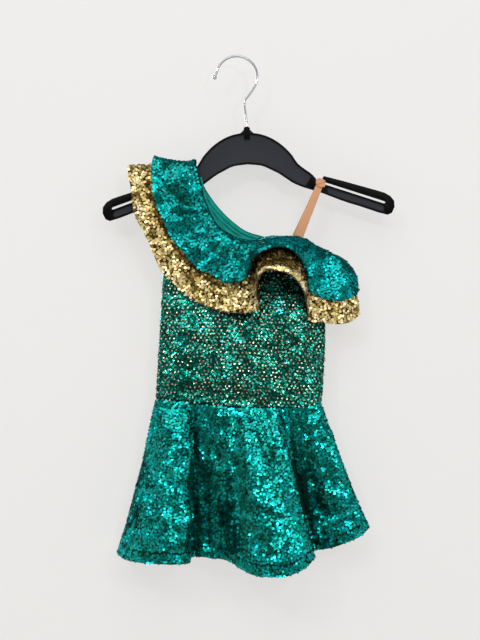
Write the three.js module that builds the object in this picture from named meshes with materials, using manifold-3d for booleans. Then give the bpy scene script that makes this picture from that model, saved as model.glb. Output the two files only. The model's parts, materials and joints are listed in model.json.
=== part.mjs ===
// A child's one-shoulder sequin dance dress on a plastic hanger with a wire hook.
// Millimetres, +Z up, the wearer's front towards -Y. The origin is the inside of the hook's crown,
// where a rail or nail carries it. Every cloth piece is a wall worked out from a short table of ribs:
// each rib runs from a seam (its root) over a middle to a free edge, and smooth curves join the ribs.
import * as THREE from "three";
import { mergeVertices } from "three/addons/utils/BufferGeometryUtils.js";
import Module from "manifold-3d";

const wasm = await Module();
wasm.setup();

// ---- Driving dimensions ----
const CLOTH = 1.6; // wall of the body cloth, sequins and all
const FRILL = 1.4; // wall of the two ruffles
const HEM = 2.8; // turned-up double cloth at the skirt's edge
const HEM_SHARE = 0.93; // where the turn-up starts, as a share of the skirt's length
const SEAM = 0.3; // gap left between two pieces at a seam
const LAYER = 2.6; // from one layer's middle to the next in the stack at the neckline
const CLEARANCE = 2.3; // least distance between the middles of two layers that lie on each other
const WAIST_LEFT = -100;
const WAIST_RIGHT = 105;
const WAIST_DEPTH = 13; // half of the hanging bodice's thickness, front to back
const ROUNDNESS = 2.6; // exponent of the bodice's flattened oval
const TURN = 6.6; // radius of the shoulder over the hanger's arm
const SIDE_SWELL = 4; // how far the right side seam bows out
const BIND_WIDTH = 12;
const BIND_WALL = 1.2;
const BIND_CAP = 2.4; // height of the bound edge that shows along the front neckline
const BIND_REACH = 1.8; // its depth over the bodice's raw edge
const BIND_MIDDLE = 0.2; // from the bodice's middle to the middle of that depth
const STRAP_WALL = 1.2;
const STRAP_FOOT = 12.7; // half-inch elastic
const STRAP_HEAD = 8.7; // drawn in where it turns over the hanger
const STRAP_IN_NOTCH = 4.2;
const NOTCH_X = 104.35; // middle of the hanger's right-hand notch
const LOOP_LOW = -157.2; // underside of the gathered strap where it passes through the notch
const LOOP_HIGH = -152.6;
const LOOP_NEAR = 4.5; // depth from the middle where the loop's gathered ends begin
const LOOP_FRONT = 7.2;
const LOOP_BACK = 6.8;
const HANGER_THICK = 5.2;
const WEB_THICK = 2;
const RIM = 2.2;
const WIRE = 3;
const HOOK_RADIUS = 25.6; // to the middle of the wire
const HOOK_BALL = 5.6;
const BOSS = 8;
const BOSS_TOP = 16.2; // above the middle of the hanger's body
const BOSS_HEIGHT = 15.8;
const BOSS_CHAMFER = 1.3;
const BRACE_THICK = 3.2; // the two small webs beside the boss
const BORE = 3.8;
const BORE_FLOOR = 7;

// ---- Tables ----
// Columns of both neckline tables: s along the neckline from shoulder to underarm, share of the waist
// that the rib below reaches, x, z, y, and the x and z parts of the outward direction.
const NECK_FRONT = [
  [0, 0.235, -53, -133, 0, -0.6, 0.8],
  [0.02, 0.245, -52, -136.4, -6.1, -0.3, 0.35],
  [0.07, 0.262, -47, -149, -6.3, -0.1, 0.15],
  [0.16, 0.285, -42.5, -171, -6.5, 0, 0.1],
  [0.23, 0.31, -38, -184, -7, 0, 0.1],
  [0.31, 0.335, -32, -198, -8, 0, 0.1],
  [0.39, 0.38, -23, -212, -9, 0, 0.1],
  [0.46, 0.44, -11, -221, -10, 0, 0.1],
  [0.52, 0.5, 1, -227, -11, 0, 0.1],
  [0.575, 0.555, 13, -230, -11, 0, 0.1],
  [0.68, 0.65, 34, -230, -11, 0, 0.1],
  [0.77, 0.75, 54, -230, -11, 0, 0.1],
  [0.86, 0.85, 74, -230, -10, 0.1, 0.1],
  [0.905, 0.9, 84, -231, -8.5, 0.25, 0.2],
  [0.955, 0.96, 95, -237, -5.5, 0.6, 0.3],
  [1, 1, 107, -246, 0, 0.93, 0.37],
];
const NECK_BACK = [
  [0, 0.235, -53, -133, 0, -0.6, 0.8],
  [0.02, 0.245, -51.8, -136.8, 5.9, -0.3, 0.35],
  [0.07, 0.258, -47, -147, 6.3, -0.1, 0.15],
  [0.14, 0.275, -42.5, -159, 6.5, 0, 0.1],
  [0.25, 0.31, -35, -172, 7, 0, 0.1],
  [0.37, 0.38, -23, -188, 8, 0, 0.1],
  [0.5, 0.46, -7, -204, 9, 0, 0.1],
  [0.62, 0.555, 13, -218, 9, 0, 0.1],
  [0.7, 0.64, 29, -223, 9, 0, 0.1],
  [0.8, 0.74, 50, -228, 9, 0, 0.1],
  [0.9, 0.88, 80, -230, 8, 0.25, 0.2],
  [0.955, 0.96, 96, -237, 5.5, 0.6, 0.3],
  [1, 1, 107, -246, 0, 0.93, 0.37],
];

// Armhole and shoulder seam, from the left underarm up: share of the waist, x, z, depth, and the
// radius with which the cloth turns down over the hanger's arm.
const ARMHOLE = [
  [0, -90, -256, 0, 0],
  [0.02, -88, -248, 4, 0],
  [0.045, -84, -229, 7, 0],
  [0.08, -79, -198, 7, 0],
  [0.11, -74, -166, 6, 0],
  [0.13, -73, -149.5, 0, TURN],
  [0.185, -63, -141.2, 0, TURN],
];

// Waist seam: share of the way across, z.
const WAIST = [
  [0, -426],
  [0.09, -428],
  [0.2, -430],
  [0.35, -433],
  [0.49, -436],
  [0.63, -436.5],
  [0.88, -436],
  [1, -432],
];

// Skirt ribs: share of the waist, hem x, hem z, hem y, how far the middle stands out and moves in x.
const SKIRT_FRONT = [
  [0, -148, -618, 0, 0, 3],
  [0.02, -144, -620, -14, 1, 3],
  [0.05, -135, -622, -28, 2, 2],
  [0.09, -126, -622, -40, 3, 1],
  [0.14, -108, -622, -50, 4, 0],
  [0.18, -89, -622, -54, 4, 0],
  [0.215, -72, -622, -50, 4, 0],
  [0.235, -58, -624, -38, 3, 1],
  [0.25, -54, -623, -20, 0, 1],
  [0.27, -45, -623, -9, -2, 0],
  [0.32, -34, -624, -7, -3, 0],
  [0.38, -19, -624, -14, -3, 0],
  [0.43, -6, -625, -28, -1, 0],
  [0.48, 8, -631, -46, 2, 0],
  [0.54, 23, -634, -60, 4, 0],
  [0.61, 39, -634, -68, 5, 0],
  [0.67, 54, -634, -67, 5, 0],
  [0.72, 72, -629, -55, 4, 0],
  [0.76, 88, -622, -40, 3, 0],
  [0.785, 97, -617, -24, 1, 0],
  [0.805, 99, -615, -11, -2, 0],
  [0.83, 106, -614, -6, -3, 0],
  [0.87, 121, -611, -10, -1, 0],
  [0.92, 140, -603, -13, 0, 0],
  [0.97, 157, -595, -9, 0, -1],
  [1, 165, -588, 0, 0, -2],
];
const SKIRT_BACK = [
  [0, -148, -618, 0, 0, 3],
  [0.03, -145, -618, 13, 1, 3],
  [0.09, -130, -622, 22, 2, 1],
  [0.18, -99, -622, 14, -1, 0],
  [0.28, -67, -622, 24, 2, 0],
  [0.38, -34, -617, 14, -1, 0],
  [0.48, 2, -622, 25, 2, 0],
  [0.58, 35, -618, 15, -1, 0],
  [0.68, 68, -617, 25, 2, 0],
  [0.78, 98, -610, 15, -1, 0],
  [0.87, 128, -605, 24, 2, 0],
  [0.94, 151, -596, 16, 0, 0],
  [0.98, 162, -591, 8, 0, -1],
  [1, 165, -588, 0, 0, -2],
];

// Ruffle ribs: s along the neckline, edge x, edge z, edge y, then how the middle is moved: wide (x),
// lift (z) and out (away from the body).
const UPPER_FRONT = [
  [0, -103, -124, 0, 0, 1, 0],
  [0.025, -104.5, -130, -6, 0, 1, 2],
  [0.05, -105, -139, -9, 0, 2, 3],
  [0.1, -104, -150, -13, 0, 2, 5],
  [0.17, -102, -173, -17, 0, 1, 4],
  [0.23, -97, -190, -16, 0, 2, 2],
  [0.29, -88, -209, -21, 0, 3, 6],
  [0.35, -80, -227, -18, 0, 2, 2],
  [0.41, -64, -246, -22, 0, 3, 6],
  [0.455, -43, -267, -20, 0, 3, 3],
  [0.49, -30, -271, -23, 0, 3, 6],
  [0.53, -13, -283, -30, 0, 4, 5],
  [0.57, -1, -281, -36, 0, 4, 3],
  [0.61, 12, -278, -42, 0, 5, 3],
  [0.64, 17, -267, -47, 0, 8, 3],
  [0.665, 19, -256, -52, -1, 9, 2],
  [0.69, 27, -249, -57, -2, 8, 1],
  [0.73, 37, -243, -61, -2, 8, 0],
  [0.77, 52, -241, -62, 0, 8, 0],
  [0.815, 65, -244, -59, 1, 9, 0],
  [0.85, 74, -251, -50, 2, 12, 1],
  [0.875, 80, -258, -41, 3, 12, 3],
  [0.9, 83, -267, -33, 4, 12, 6],
  [0.92, 86, -280, -26, 5, 11, 8],
  [0.935, 92, -293, -21, 5, 9, 9],
  [0.95, 107, -301, -19, 4, 8, 9],
  [0.965, 122, -304, -16, 4, 8, 9],
  [0.98, 138, -302, -11, 6, 11, 8],
  [1, 152, -292, 0, 10, 7, 0],
];
const LOWER_FRONT = [
  [0, -135, -136, 0, 0, 0, 0],
  [0.025, -135, -141, -5, 0, 0, 1],
  [0.05, -134, -148, -7.5, 0, 0, 2],
  [0.1, -132, -157, -9, 0, 0, 3],
  [0.17, -130, -168, -10, 0, 0, 3],
  [0.23, -128, -191, -11, 0, 0, 2],
  [0.29, -117, -216, -13, 0, 0, 3],
  [0.35, -109, -231, -12, 0, 0, 2],
  [0.39, -101, -250, -14, 0, 0, 3],
  [0.42, -93, -267, -13, 0, 0, 2],
  [0.44, -80, -281, -15, 0, 0, 2],
  [0.46, -70, -292, -13, 0, 0, 1],
  [0.475, -59, -300, -12, 0, 0, 1],
  [0.49, -44, -308, -16, 0, 0, 2],
  [0.52, -32, -313, -20, 0, 0, 2],
  [0.55, -17, -318, -24, 0, 0, 2],
  [0.58, -3, -319, -28, 0, 0, 1],
  [0.61, 13, -319, -33, 0, 0, 0],
  [0.635, 27, -315, -40, 0, 2, 0],
  [0.65, 24, -299, -47, 0, 5, 0],
  [0.67, 25, -284, -55, 0, 8, 0],
  [0.7, 28, -275, -63, 0, 7, 0],
  [0.74, 37, -269, -70, 0, 7, 0],
  [0.79, 51, -270, -72, 0, 7, 0],
  [0.83, 63, -274, -66, 0, 7, 0],
  [0.865, 73, -281, -56, 0, 7, 0],
  [0.89, 80, -291, -44, 0, 7, 0],
  [0.91, 85, -303, -32, 0, 5, 0],
  [0.925, 87, -316, -22, 0, 4, 2],
  [0.94, 89, -328, -17, 0, 4, 3],
  [0.955, 107, -331, -16, 1, 4, 3],
  [0.97, 127, -333, -14, 3, 6, 3],
  [0.985, 141, -330, -10, 6, 8, 3],
  [1, 153, -322, 0, 9, 9, 0],
];
const UPPER_BACK = [
  [0, -103, -124, 0, 0, 1, 0],
  [0.025, -104.5, -130, 5, 0, 1, 2],
  [0.07, -105, -140, 9, 0, 2, 3],
  [0.15, -105, -159, 13, 0, 2, 4],
  [0.25, -99, -184, 15, 0, 2, 3],
  [0.35, -84, -217, 17, 0, 2, 4],
  [0.45, -59, -246, 21, 0, 2, 4],
  [0.55, -24, -268, 18, 0, 2, 3],
  [0.65, 4, -275, 23, 0, 2, 4],
  [0.75, 40, -281, 19, 0, 2, 3],
  [0.85, 80, -290, 22, 0, 3, 5],
  [0.93, 114, -298, 17, 3, 3, 6],
  [0.97, 138, -298, 10, 7, 6, 5],
  [1, 152, -292, 0, 10, 7, 0],
];
const LOWER_BACK = [
  [0, -135, -136, 0, 0, 0, 0],
  [0.025, -135, -141, 5, 0, 0, 1],
  [0.07, -135, -149, 7.5, 0, 0, 2],
  [0.15, -132, -165, 9, 0, 0, 2],
  [0.25, -127, -187, 10, 0, 0, 2],
  [0.35, -114, -217, 12, 0, 0, 1],
  [0.45, -91, -255, 15, 0, 0, 0],
  [0.55, -53, -290, 13, 0, 0, 0],
  [0.65, -6, -307, 18, 0, 0, 0],
  [0.75, 40, -312, 14, 0, 0, 0],
  [0.85, 80, -321, 17, 0, 1, 0],
  [0.93, 118, -327, 13, 2, 4, 1],
  [0.97, 141, -326, 8, 5, 7, 1],
  [1, 153, -322, 0, 9, 9, 0],
];

// Strap middles: x, y, z, width, of its two stretches.
const STRAP_FRONT = [
  [70, -7.6, -241, STRAP_FOOT],
  [81.5, -6.2, -213, 11.4],
  [94, -4.6, -183, 9.8],
  [103.4, -3.6, -160.6, STRAP_HEAD],
];
const STRAP_BACK = [
  [103.4, 3.6, -160.6, STRAP_HEAD],
  [91.5, 3.8, -188, 9.8],
  [79, 4, -216, 11.4],
  [67, 4.2, -243, STRAP_FOOT],
];
// The strap is gathered into a short thick loop over the notch: outline of its two bunched ends, x, z.
const LOOP_END = [[99.2, -159.6], [98.7, -156.4], [100.3, -153.4], [103.6, -152], [107.6, -152.5],
  [110.6, -154.6], [111.1, -157.6], [109.9, -161.6], [107.4, -163], [103.2, -162.6]];

// Hanger, in its own upright frame with the boss axis at x = 0: right-hand edges, x, z.
const HANGER_PLACE = { x: 13, z: -103.25, tilt: -0.0227 };
const BODY_TOP = [[0, 8.6], [7, 8.3], [18, 6.3], [29, 2], [40, -4.8], [49, -12.8], [56.5, -21.5],
  [62, -30.5], [71.5, -38.5], [79.2, -44], [85, -50.6]];
const BRACES = [[-9, 7], [-8.4, 8.3], [-3.6, 12.8], [3.6, 12.8], [8.4, 8.3], [9, 7]];
const NOTCH_AND_SLOT = [[86.3, -54], [88, -57], [96.5, -58.1], [168.7, -83.2], [170.6, -82.9],
  [171.2, -81.5], [170.1, -80.3], [97.3, -55.2], [93.2, -53.8], [92.8, -50.5]];
const PRONG_TOP = [[94.7, -47.4], [120.8, -54.8], [144.7, -62.1], [168.4, -69.4], [176.3, -73.5],
  [181.8, -80.1], [182.4, -87.3], [178.9, -95.1]];
const ARM_UNDER = [[174.1, -97.3], [167.8, -96], [144.1, -87.4], [120.3, -79.5], [91, -67.6],
  [81.3, -64.4]];
const BODY_UNDER = [[81.3, -64.4], [69.1, -60.4], [57, -55.1], [48.2, -49.2], [39.4, -42.9],
  [28.4, -37.1], [17.3, -32.3], [0, -30.25]];
const ARM_POCKET = [[99, -61.2], [166.5, -84.9], [169.5, -88], [168.6, -92.2], [165, -92.6],
  [144, -84.9], [120, -77.1], [99, -68.8]];

// Hook: arc angles in degrees about its centre, then the wire's way down into the boss, x, z.
const HOOK_ARC = { from: 168, to: -35, centreZ: -HOOK_RADIUS + WIRE / 2 };
const HOOK_LIP = [[-27.6, -25], [-26.4, -21.5]];
const HOOK_STEM = [[14, -48.5], [10.3, -53.6], [9.7, -57], [11, -70], [12.4, -83], [12.7, -90],
  [12.84, -96]];
const HOOK_STEPS = 36;

// ---- Curves and walls ----
const lerp = (a, b, t) => a + (b - a) * t;
const REFINED = 6; // how finely a layer is sampled when the next one is laid on it
const LAY_REACH = 7; // a point further to the side than this doesn't lie on the layer
const clamp01 = (t) => Math.min(1, Math.max(0, t));
const ease = (t) => t * t * (3 - 2 * t);
const range = (count) => Array.from({ length: count + 1 }, (_, k) => k / count);
// Even steps with one more close to each end, where the cloth turns round a fold.
const foldSteps = (count) => [0, 0.4 / count, ...range(count).slice(1, -1), 1 - 0.4 / count, 1];

// A smooth curve through points at rising knots. With folded ends it is continued by its own mirror
// image across the plane y = 0, so that front and back meet there in one round turn.
function smooth(knots, points, folded) {
  const last = points.length - 1;
  const chord = (k) => points[k + 1].clone().sub(points[k]).divideScalar(knots[k + 1] - knots[k]);
  const slopes = points.map((point, k) => {
    if (k === 0 || k === last) {
      const slope = chord(k === 0 ? 0 : last - 1);
      return folded ? new THREE.Vector3(0, slope.y, 0) : slope;
    }
    const before = knots[k] - knots[k - 1];
    const after = knots[k + 1] - knots[k];
    return chord(k - 1).multiplyScalar(after).add(chord(k).multiplyScalar(before))
      .divideScalar(before + after);
  });
  return (t) => {
    let k = 0;
    while (k < last - 1 && t > knots[k + 1]) k += 1;
    const span = knots[k + 1] - knots[k];
    const s = clamp01((t - knots[k]) / span);
    const s2 = s * s;
    const s3 = s2 * s;
    return new THREE.Vector3()
      .addScaledVector(points[k], 2 * s3 - 3 * s2 + 1)
      .addScaledVector(slopes[k], (s3 - 2 * s2 + s) * span)
      .addScaledVector(points[k + 1], 3 * s2 - 2 * s3)
      .addScaledVector(slopes[k + 1], (s3 - s2) * span);
  };
}

// Knots spaced by how far apart neighbouring ribs are, scaled to end at 1.
function knotsOf(roots, edges) {
  const knots = [0];
  for (let k = 1; k < edges.length; k += 1) {
    const apart = roots[k].distanceTo(roots[k - 1]) + edges[k].distanceTo(edges[k - 1]);
    knots.push(knots[k - 1] + apart);
  }
  return knots.map((knot) => knot / knots[knots.length - 1]);
}

const gridOf = (us, vs, at) => us.map((u) => vs.map((v) => at(u, v)));

// Outward directions of a grid. facing is +1 where across x along points outwards, -1 where inwards.
// On the seam plane, y = 0, they lie in that plane, and along a level seam they are level.
function normalsOf(grid, facing, level) {
  const last = grid.length - 1;
  const end = grid[0].length - 1;
  return grid.map((line, i) => line.map((point, j) => {
    const across = grid[Math.min(i + 1, last)][j].clone().sub(grid[Math.max(i - 1, 0)][j]);
    const along = line[Math.min(j + 1, end)].clone().sub(line[Math.max(j - 1, 0)]);
    const normal = across.cross(along).multiplyScalar(facing);
    if (Math.abs(point.y) <= SEAM) normal.y = 0;
    if (level && j === level.row) normal.z = 0;
    return normal.normalize();
  }));
}

// A grid with more points on the same flat facets.
function refined(grid, times) {
  const along = grid.map((line) => line.flatMap((point, j) => (j === line.length - 1 ? [point]
    : range(times).slice(0, -1).map((t) => point.clone().lerp(line[j + 1], t)))));
  return along.flatMap((line, i) => (i === along.length - 1 ? [line]
    : range(times).slice(0, -1).map((t) => line.map((point, j) => point.clone().lerp(along[i + 1][j], t)))));
}

// Moves a grid outwards wherever it comes closer than the clearance to the layer under it.
function layOver(grid, underGrid, facing, clearance) {
  const under = refined(underGrid, REFINED);
  const normals = normalsOf(under, facing).flat();
  const points = under.flat();
  return grid.map((line) => line.map((point) => {
    let best = -1;
    let nearest = Infinity;
    points.forEach((other, k) => {
      const distance = other.distanceToSquared(point);
      if (distance < nearest) {
        nearest = distance;
        best = k;
      }
    });
    const away = point.clone().sub(points[best]);
    const height = away.dot(normals[best]);
    const aside = Math.sqrt(Math.max(0, nearest - height * height));
    if (height >= clearance || aside > LAY_REACH) return point;
    const moved = point.clone().addScaledVector(normals[best], clearance - height);
    if (Math.abs(point.y) <= SEAM) moved.y = point.y;
    return moved;
  }));
}

// A closed wall round a grid of middle points; thickness may change along a rib.
function wallOf(grid, facing, thicknessAt, level) {
  const normals = normalsOf(grid, facing, level);
  const wide = grid.length;
  const deep = grid[0].length;
  const positions = [];
  for (const side of [0.5, -0.5]) {
    grid.forEach((line, i) => line.forEach((point, j) => {
      const thickness = thicknessAt(j);
      const moved = point.clone().addScaledVector(normals[i][j], side * thickness);
      positions.push(moved.x, moved.y, moved.z);
    }));
  }
  const outer = (i, j) => i * deep + j;
  const inner = (i, j) => wide * deep + i * deep + j;
  const faces = [];
  const quad = (a, b, c, d) => faces.push([a, b, c], [a, c, d]);
  for (let i = 0; i < wide - 1; i += 1) {
    for (let j = 0; j < deep - 1; j += 1) {
      quad(outer(i, j), outer(i + 1, j), outer(i + 1, j + 1), outer(i, j + 1));
      quad(inner(i, j), inner(i, j + 1), inner(i + 1, j + 1), inner(i + 1, j));
    }
  }
  const rim = [];
  for (let i = 0; i < wide - 1; i += 1) rim.push([i, 0]);
  for (let j = 0; j < deep - 1; j += 1) rim.push([wide - 1, j]);
  for (let i = wide - 1; i > 0; i -= 1) rim.push([i, deep - 1]);
  for (let j = deep - 1; j > 0; j -= 1) rim.push([0, j]);
  rim.forEach((from, k) => {
    const to = rim[(k + 1) % rim.length];
    quad(outer(...to), outer(...from), inner(...from), inner(...to));
  });
  const index = faces.flatMap(([a, b, c]) => (facing > 0 ? [a, b, c] : [a, c, b]));
  const geometry = new THREE.BufferGeometry();
  geometry.setAttribute("position", new THREE.Float32BufferAttribute(positions, 3));
  geometry.setIndex(index);
  return geometry;
}

// ---- Bodice ----
const waistHeight = smooth(
  WAIST.map(([share]) => share),
  WAIST.map(([share, z]) => new THREE.Vector3(0, 0, z)),
  false,
);
const ovalDepth = (share) => WAIST_DEPTH
  * (1 - Math.abs(2 * share - 1) ** ROUNDNESS) ** (1 / ROUNDNESS);

// side is -1 for the front and +1 for the back.
function waistPoint(share, side) {
  const x = lerp(WAIST_LEFT, WAIST_RIGHT, share);
  return new THREE.Vector3(x, side * ovalDepth(share), waistHeight(share).z);
}

function neckline(table) {
  const stations = table.map(([s]) => s);
  const place = smooth(stations, table.map(([, , x, z, y]) => new THREE.Vector3(x, y, z)), true);
  const side = Math.sign(table[3][4]);
  const outward = smooth(stations, table.map(([, , , , , outX, outZ]) => {
    const rest = Math.sqrt(Math.max(0, 1 - outX * outX - outZ * outZ));
    return new THREE.Vector3(outX, side * rest, outZ);
  }), false);
  return {
    side,
    place,
    outward: (s) => outward(s).normalize(),
    // In the cloth, square to the neckline and away from the cloth.
    edgeward: (s) => {
      const ahead = place(Math.min(1, s + 0.01)).sub(place(Math.max(0, s - 0.01)));
      return ahead.cross(outward(s)).multiplyScalar(side).normalize();
    },
  };
}

function bodiceSurface(neckTable, side) {
  const tops = [
    ...ARMHOLE.map(([share, x, z, depth, turn]) => ({ share, x, z, y: side * depth, turn })),
    ...neckTable.map(([s, share, x, z, y]) => ({ share, x, z, y, turn: s === 0 ? TURN : 0 })),
  ];
  const topPoints = tops.map(({ x, y, z }) => new THREE.Vector3(x, y, z));
  const waistPoints = tops.map(({ share }) => waistPoint(share, side));
  const knots = knotsOf(topPoints, waistPoints);
  const top = smooth(knots, topPoints, true);
  const plan = smooth(knots, tops.map(({ share, turn }) => new THREE.Vector3(share, 0, turn)), false);
  return (u, v) => {
    const start = top(u);
    const share = clamp01(plan(u).x);
    const turn = Math.max(0, plan(u).z);
    const end = waistPoint(share, side);
    end.z += SEAM / 2;
    const point = start.clone().lerp(end, v);
    point.x += SIDE_SWELL * 4 * v * (1 - v) * Math.max(0, 2 * share - 1) ** 2;
    const turned = turn > 0 ? clamp01(start.distanceTo(point) / turn) : 1;
    const hung = start.y + side * turn * Math.sqrt(1 - (1 - turned) ** 2);
    point.y = lerp(hung, side * ovalDepth(share), ease(clamp01(v / 0.4)));
    point.y = side * Math.max(SEAM / 2, side * point.y);
    return point;
  };
}

const neckFront = neckline(NECK_FRONT);
const neckBack = neckline(NECK_BACK);
const BODICE_STEPS = [0, 0.012, 0.03, 0.07, 0.15, 0.27, 0.42, 0.6, 0.8, 1];
const bodiceFrontGrid = gridOf(foldSteps(34), BODICE_STEPS, bodiceSurface(NECK_FRONT, -1));
const bodiceBackGrid = gridOf(foldSteps(28), BODICE_STEPS, bodiceSurface(NECK_BACK, 1));

// ---- Skirt ----
function ribbed(roots, middles, edges) {
  const knots = knotsOf(roots, edges);
  const root = smooth(knots, roots, true);
  const middle = smooth(knots, middles, true);
  const edge = smooth(knots, edges, true);
  return (u, v) => new THREE.Vector3()
    .addScaledVector(root(u), (1 - v) * (1 - 2 * v))
    .addScaledVector(middle(u), 4 * v * (1 - v))
    .addScaledVector(edge(u), v * (2 * v - 1));
}

const seamed = (grid, side) => grid.map((line, i) => line.map((point) => {
  if (i === 0 || i === grid.length - 1) point.y = side * SEAM / 2;
  return point;
}));

function skirtGrid(table, side, across, steps) {
  const roots = table.map(([share]) => waistPoint(share, side));
  roots.forEach((root) => root.setZ(root.z - SEAM / 2));
  const edges = table.map(([, x, z, y]) => new THREE.Vector3(x, y, z));
  const middles = table.map(([, , , , out, along], k) => {
    const middle = roots[k].clone().add(edges[k]).multiplyScalar(0.5);
    return middle.add(new THREE.Vector3(along, side * out, 0));
  });
  return seamed(gridOf(foldSteps(across), steps, ribbed(roots, middles, edges)), side);
}

const SKIRT_STEPS = [0, 0.16, 0.34, 0.52, 0.7, 0.84, HEM_SHARE - 0.01, HEM_SHARE, 1];
const hemmed = (j) => (SKIRT_STEPS[j] >= HEM_SHARE ? HEM : CLOTH);
const skirtFrontGrid = skirtGrid(SKIRT_FRONT, -1, 40, SKIRT_STEPS);
const skirtBackGrid = skirtGrid(SKIRT_BACK, 1, 30, SKIRT_STEPS);

// ---- Ruffles ----
function ruffleGrid(table, neck, layer, across, steps) {
  const roots = table.map(([s]) => neck.place(s)
    .addScaledVector(neck.outward(s), layer * LAYER));
  const edges = table.map(([, x, z, y]) => new THREE.Vector3(x, y, z));
  const middles = table.map(([, , , , wide, lift, out], k) => {
    const middle = roots[k].clone().add(edges[k]).multiplyScalar(0.5);
    return middle.add(new THREE.Vector3(wide, neck.side * out, lift));
  });
  const last = table.length - 1;
  for (const list of [roots, middles, edges]) {
    list[0].setY(0);
    list[last].setY(0);
  }
  return seamed(gridOf(foldSteps(across), steps, ribbed(roots, middles, edges)), neck.side);
}

const RUFFLE_STEPS = [0, 0.2, 0.4, 0.6, 0.8, 1];
const BACK_STEPS = [0, 0.25, 0.5, 0.75, 1];
const lowerFrontGrid = layOver(
  ruffleGrid(LOWER_FRONT, neckFront, 1, 50, RUFFLE_STEPS), bodiceFrontGrid, -1, CLEARANCE);
const upperFrontGrid = layOver(
  ruffleGrid(UPPER_FRONT, neckFront, 2, 46, RUFFLE_STEPS), lowerFrontGrid, -1, CLEARANCE);
const lowerBackGrid = layOver(
  ruffleGrid(LOWER_BACK, neckBack, 1, 26, BACK_STEPS), bodiceBackGrid, 1, CLEARANCE);
const upperBackGrid = layOver(
  ruffleGrid(UPPER_BACK, neckBack, 2, 26, BACK_STEPS), lowerBackGrid, 1, CLEARANCE);

// ---- Neckline binding ----
// Back: a band inside the back bodice, whose smooth side shows above the front neckline.
function bandGrid(neck) {
  const inset = CLOTH / 2 + SEAM + BIND_WALL / 2;
  const band = range(22).map((t) => {
    const s = lerp(0.1, 0.94, t);
    return [1, -BIND_WIDTH / 2, -BIND_WIDTH].map((reach) => neck.place(s)
      .addScaledVector(neck.outward(s), -inset)
      .addScaledVector(neck.edgeward(s), reach));
  });
  return layOver(band, bodiceBackGrid, -1, inset + SEAM);
}

// Front: the bound edge that caps the bodice.
function capGrid(neck) {
  return range(30).map((t) => {
    const s = lerp(0.08, 0.95, t);
    return [-1, 1].map((way) => neck.place(s)
      .addScaledVector(neck.edgeward(s), 2.5 * SEAM + BIND_CAP / 2)
      .addScaledVector(neck.outward(s), BIND_MIDDLE + way * BIND_REACH / 2));
  });
}

// ---- Strap ----
function strapGrid(table, count) {
  const knots = range(table.length - 1);
  const middle = smooth(knots, table.map(([x, y, z]) => new THREE.Vector3(x, y, z)), false);
  const width = smooth(knots, table.map(([, , , wide]) => new THREE.Vector3(wide, 0, 0)), false);
  return range(count).map((t) => {
    const ahead = middle(Math.min(1, t + 0.02)).sub(middle(Math.max(0, t - 0.02)));
    const across = new THREE.Vector3(ahead.z, 0, -ahead.x).normalize();
    if (across.x < 0) across.negate();
    return [-0.5, 0.5].map((half) => middle(t).addScaledVector(across, half * width(t).x));
  });
}

// A ribbon's wall: a strip two points wide, closed all round.
function ribbonWall(grid, facing, thickness) {
  const normals = grid.map(([left, right], i) => {
    const next = grid[Math.min(i + 1, grid.length - 1)];
    const before = grid[Math.max(i - 1, 0)];
    const along = next[0].clone().sub(before[0]);
    return right.clone().sub(left).cross(along).multiplyScalar(facing).normalize();
  });
  const corners = grid.map(([left, right], i) => [[left, 0.5], [right, 0.5], [right, -0.5], [left, -0.5]]
    .map(([point, half]) => point.clone().addScaledVector(normals[i], half * thickness)));
  const positions = corners.flat().flatMap(({ x, y, z }) => [x, y, z]);
  const index = [];
  const quad = (a, b, c, d) => index.push(...(facing > 0 ? [a, b, c, a, c, d] : [a, c, b, a, d, c]));
  for (let i = 0; i < grid.length - 1; i += 1) {
    for (let k = 0; k < 4; k += 1) {
      const next = (k + 1) % 4;
      quad(4 * i + k, 4 * i + next, 4 * i + 4 + next, 4 * i + 4 + k);
    }
  }
  const end = 4 * (grid.length - 1);
  quad(3, 2, 1, 0);
  quad(end, end + 1, end + 2, end + 3);
  const geometry = new THREE.BufferGeometry();
  geometry.setAttribute("position", new THREE.Float32BufferAttribute(positions, 3));
  geometry.setIndex(index);
  return geometry;
}

// ---- Hanger ----
function toSolid(geometry) {
  const bare = geometry.clone();
  bare.deleteAttribute("normal");
  bare.deleteAttribute("uv");
  const merged = mergeVertices(bare, 1e-4);
  return new wasm.Manifold(new wasm.Mesh({
    numProp: 3,
    vertProperties: new Float32Array(merged.attributes.position.array),
    triVerts: new Uint32Array(merged.index.array),
  }));
}

function toGeometry(solid) {
  const mesh = solid.getMesh();
  const geometry = new THREE.BufferGeometry();
  geometry.setAttribute("position", new THREE.BufferAttribute(mesh.vertProperties, 3));
  geometry.setIndex(new THREE.BufferAttribute(mesh.triVerts, 1));
  return geometry;
}

const curvePoints = (list, count) => new THREE.SplineCurve(list.map(([x, z]) => new THREE.Vector2(x, z)))
  .getSpacedPoints(count);

// A flat prism of an x-z outline between two depths.
function prism(outline, front, back) {
  const geometry = new THREE.ExtrudeGeometry(new THREE.Shape(outline), {
    depth: back - front,
    bevelEnabled: false,
  });
  geometry.rotateX(Math.PI / 2);
  geometry.translate(0, back, 0);
  return toSolid(geometry);
}

// The same outline drawn in by a rim's width, for one run of points with the solid on its right.
function drawnIn(points, distance) {
  return points.map((point, k) => {
    const before = points[Math.max(0, k - 1)];
    const after = points[Math.min(points.length - 1, k + 1)];
    const way = after.clone().sub(before).normalize();
    return new THREE.Vector2(point.x + way.y * distance, point.y - way.x * distance);
  });
}

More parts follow.
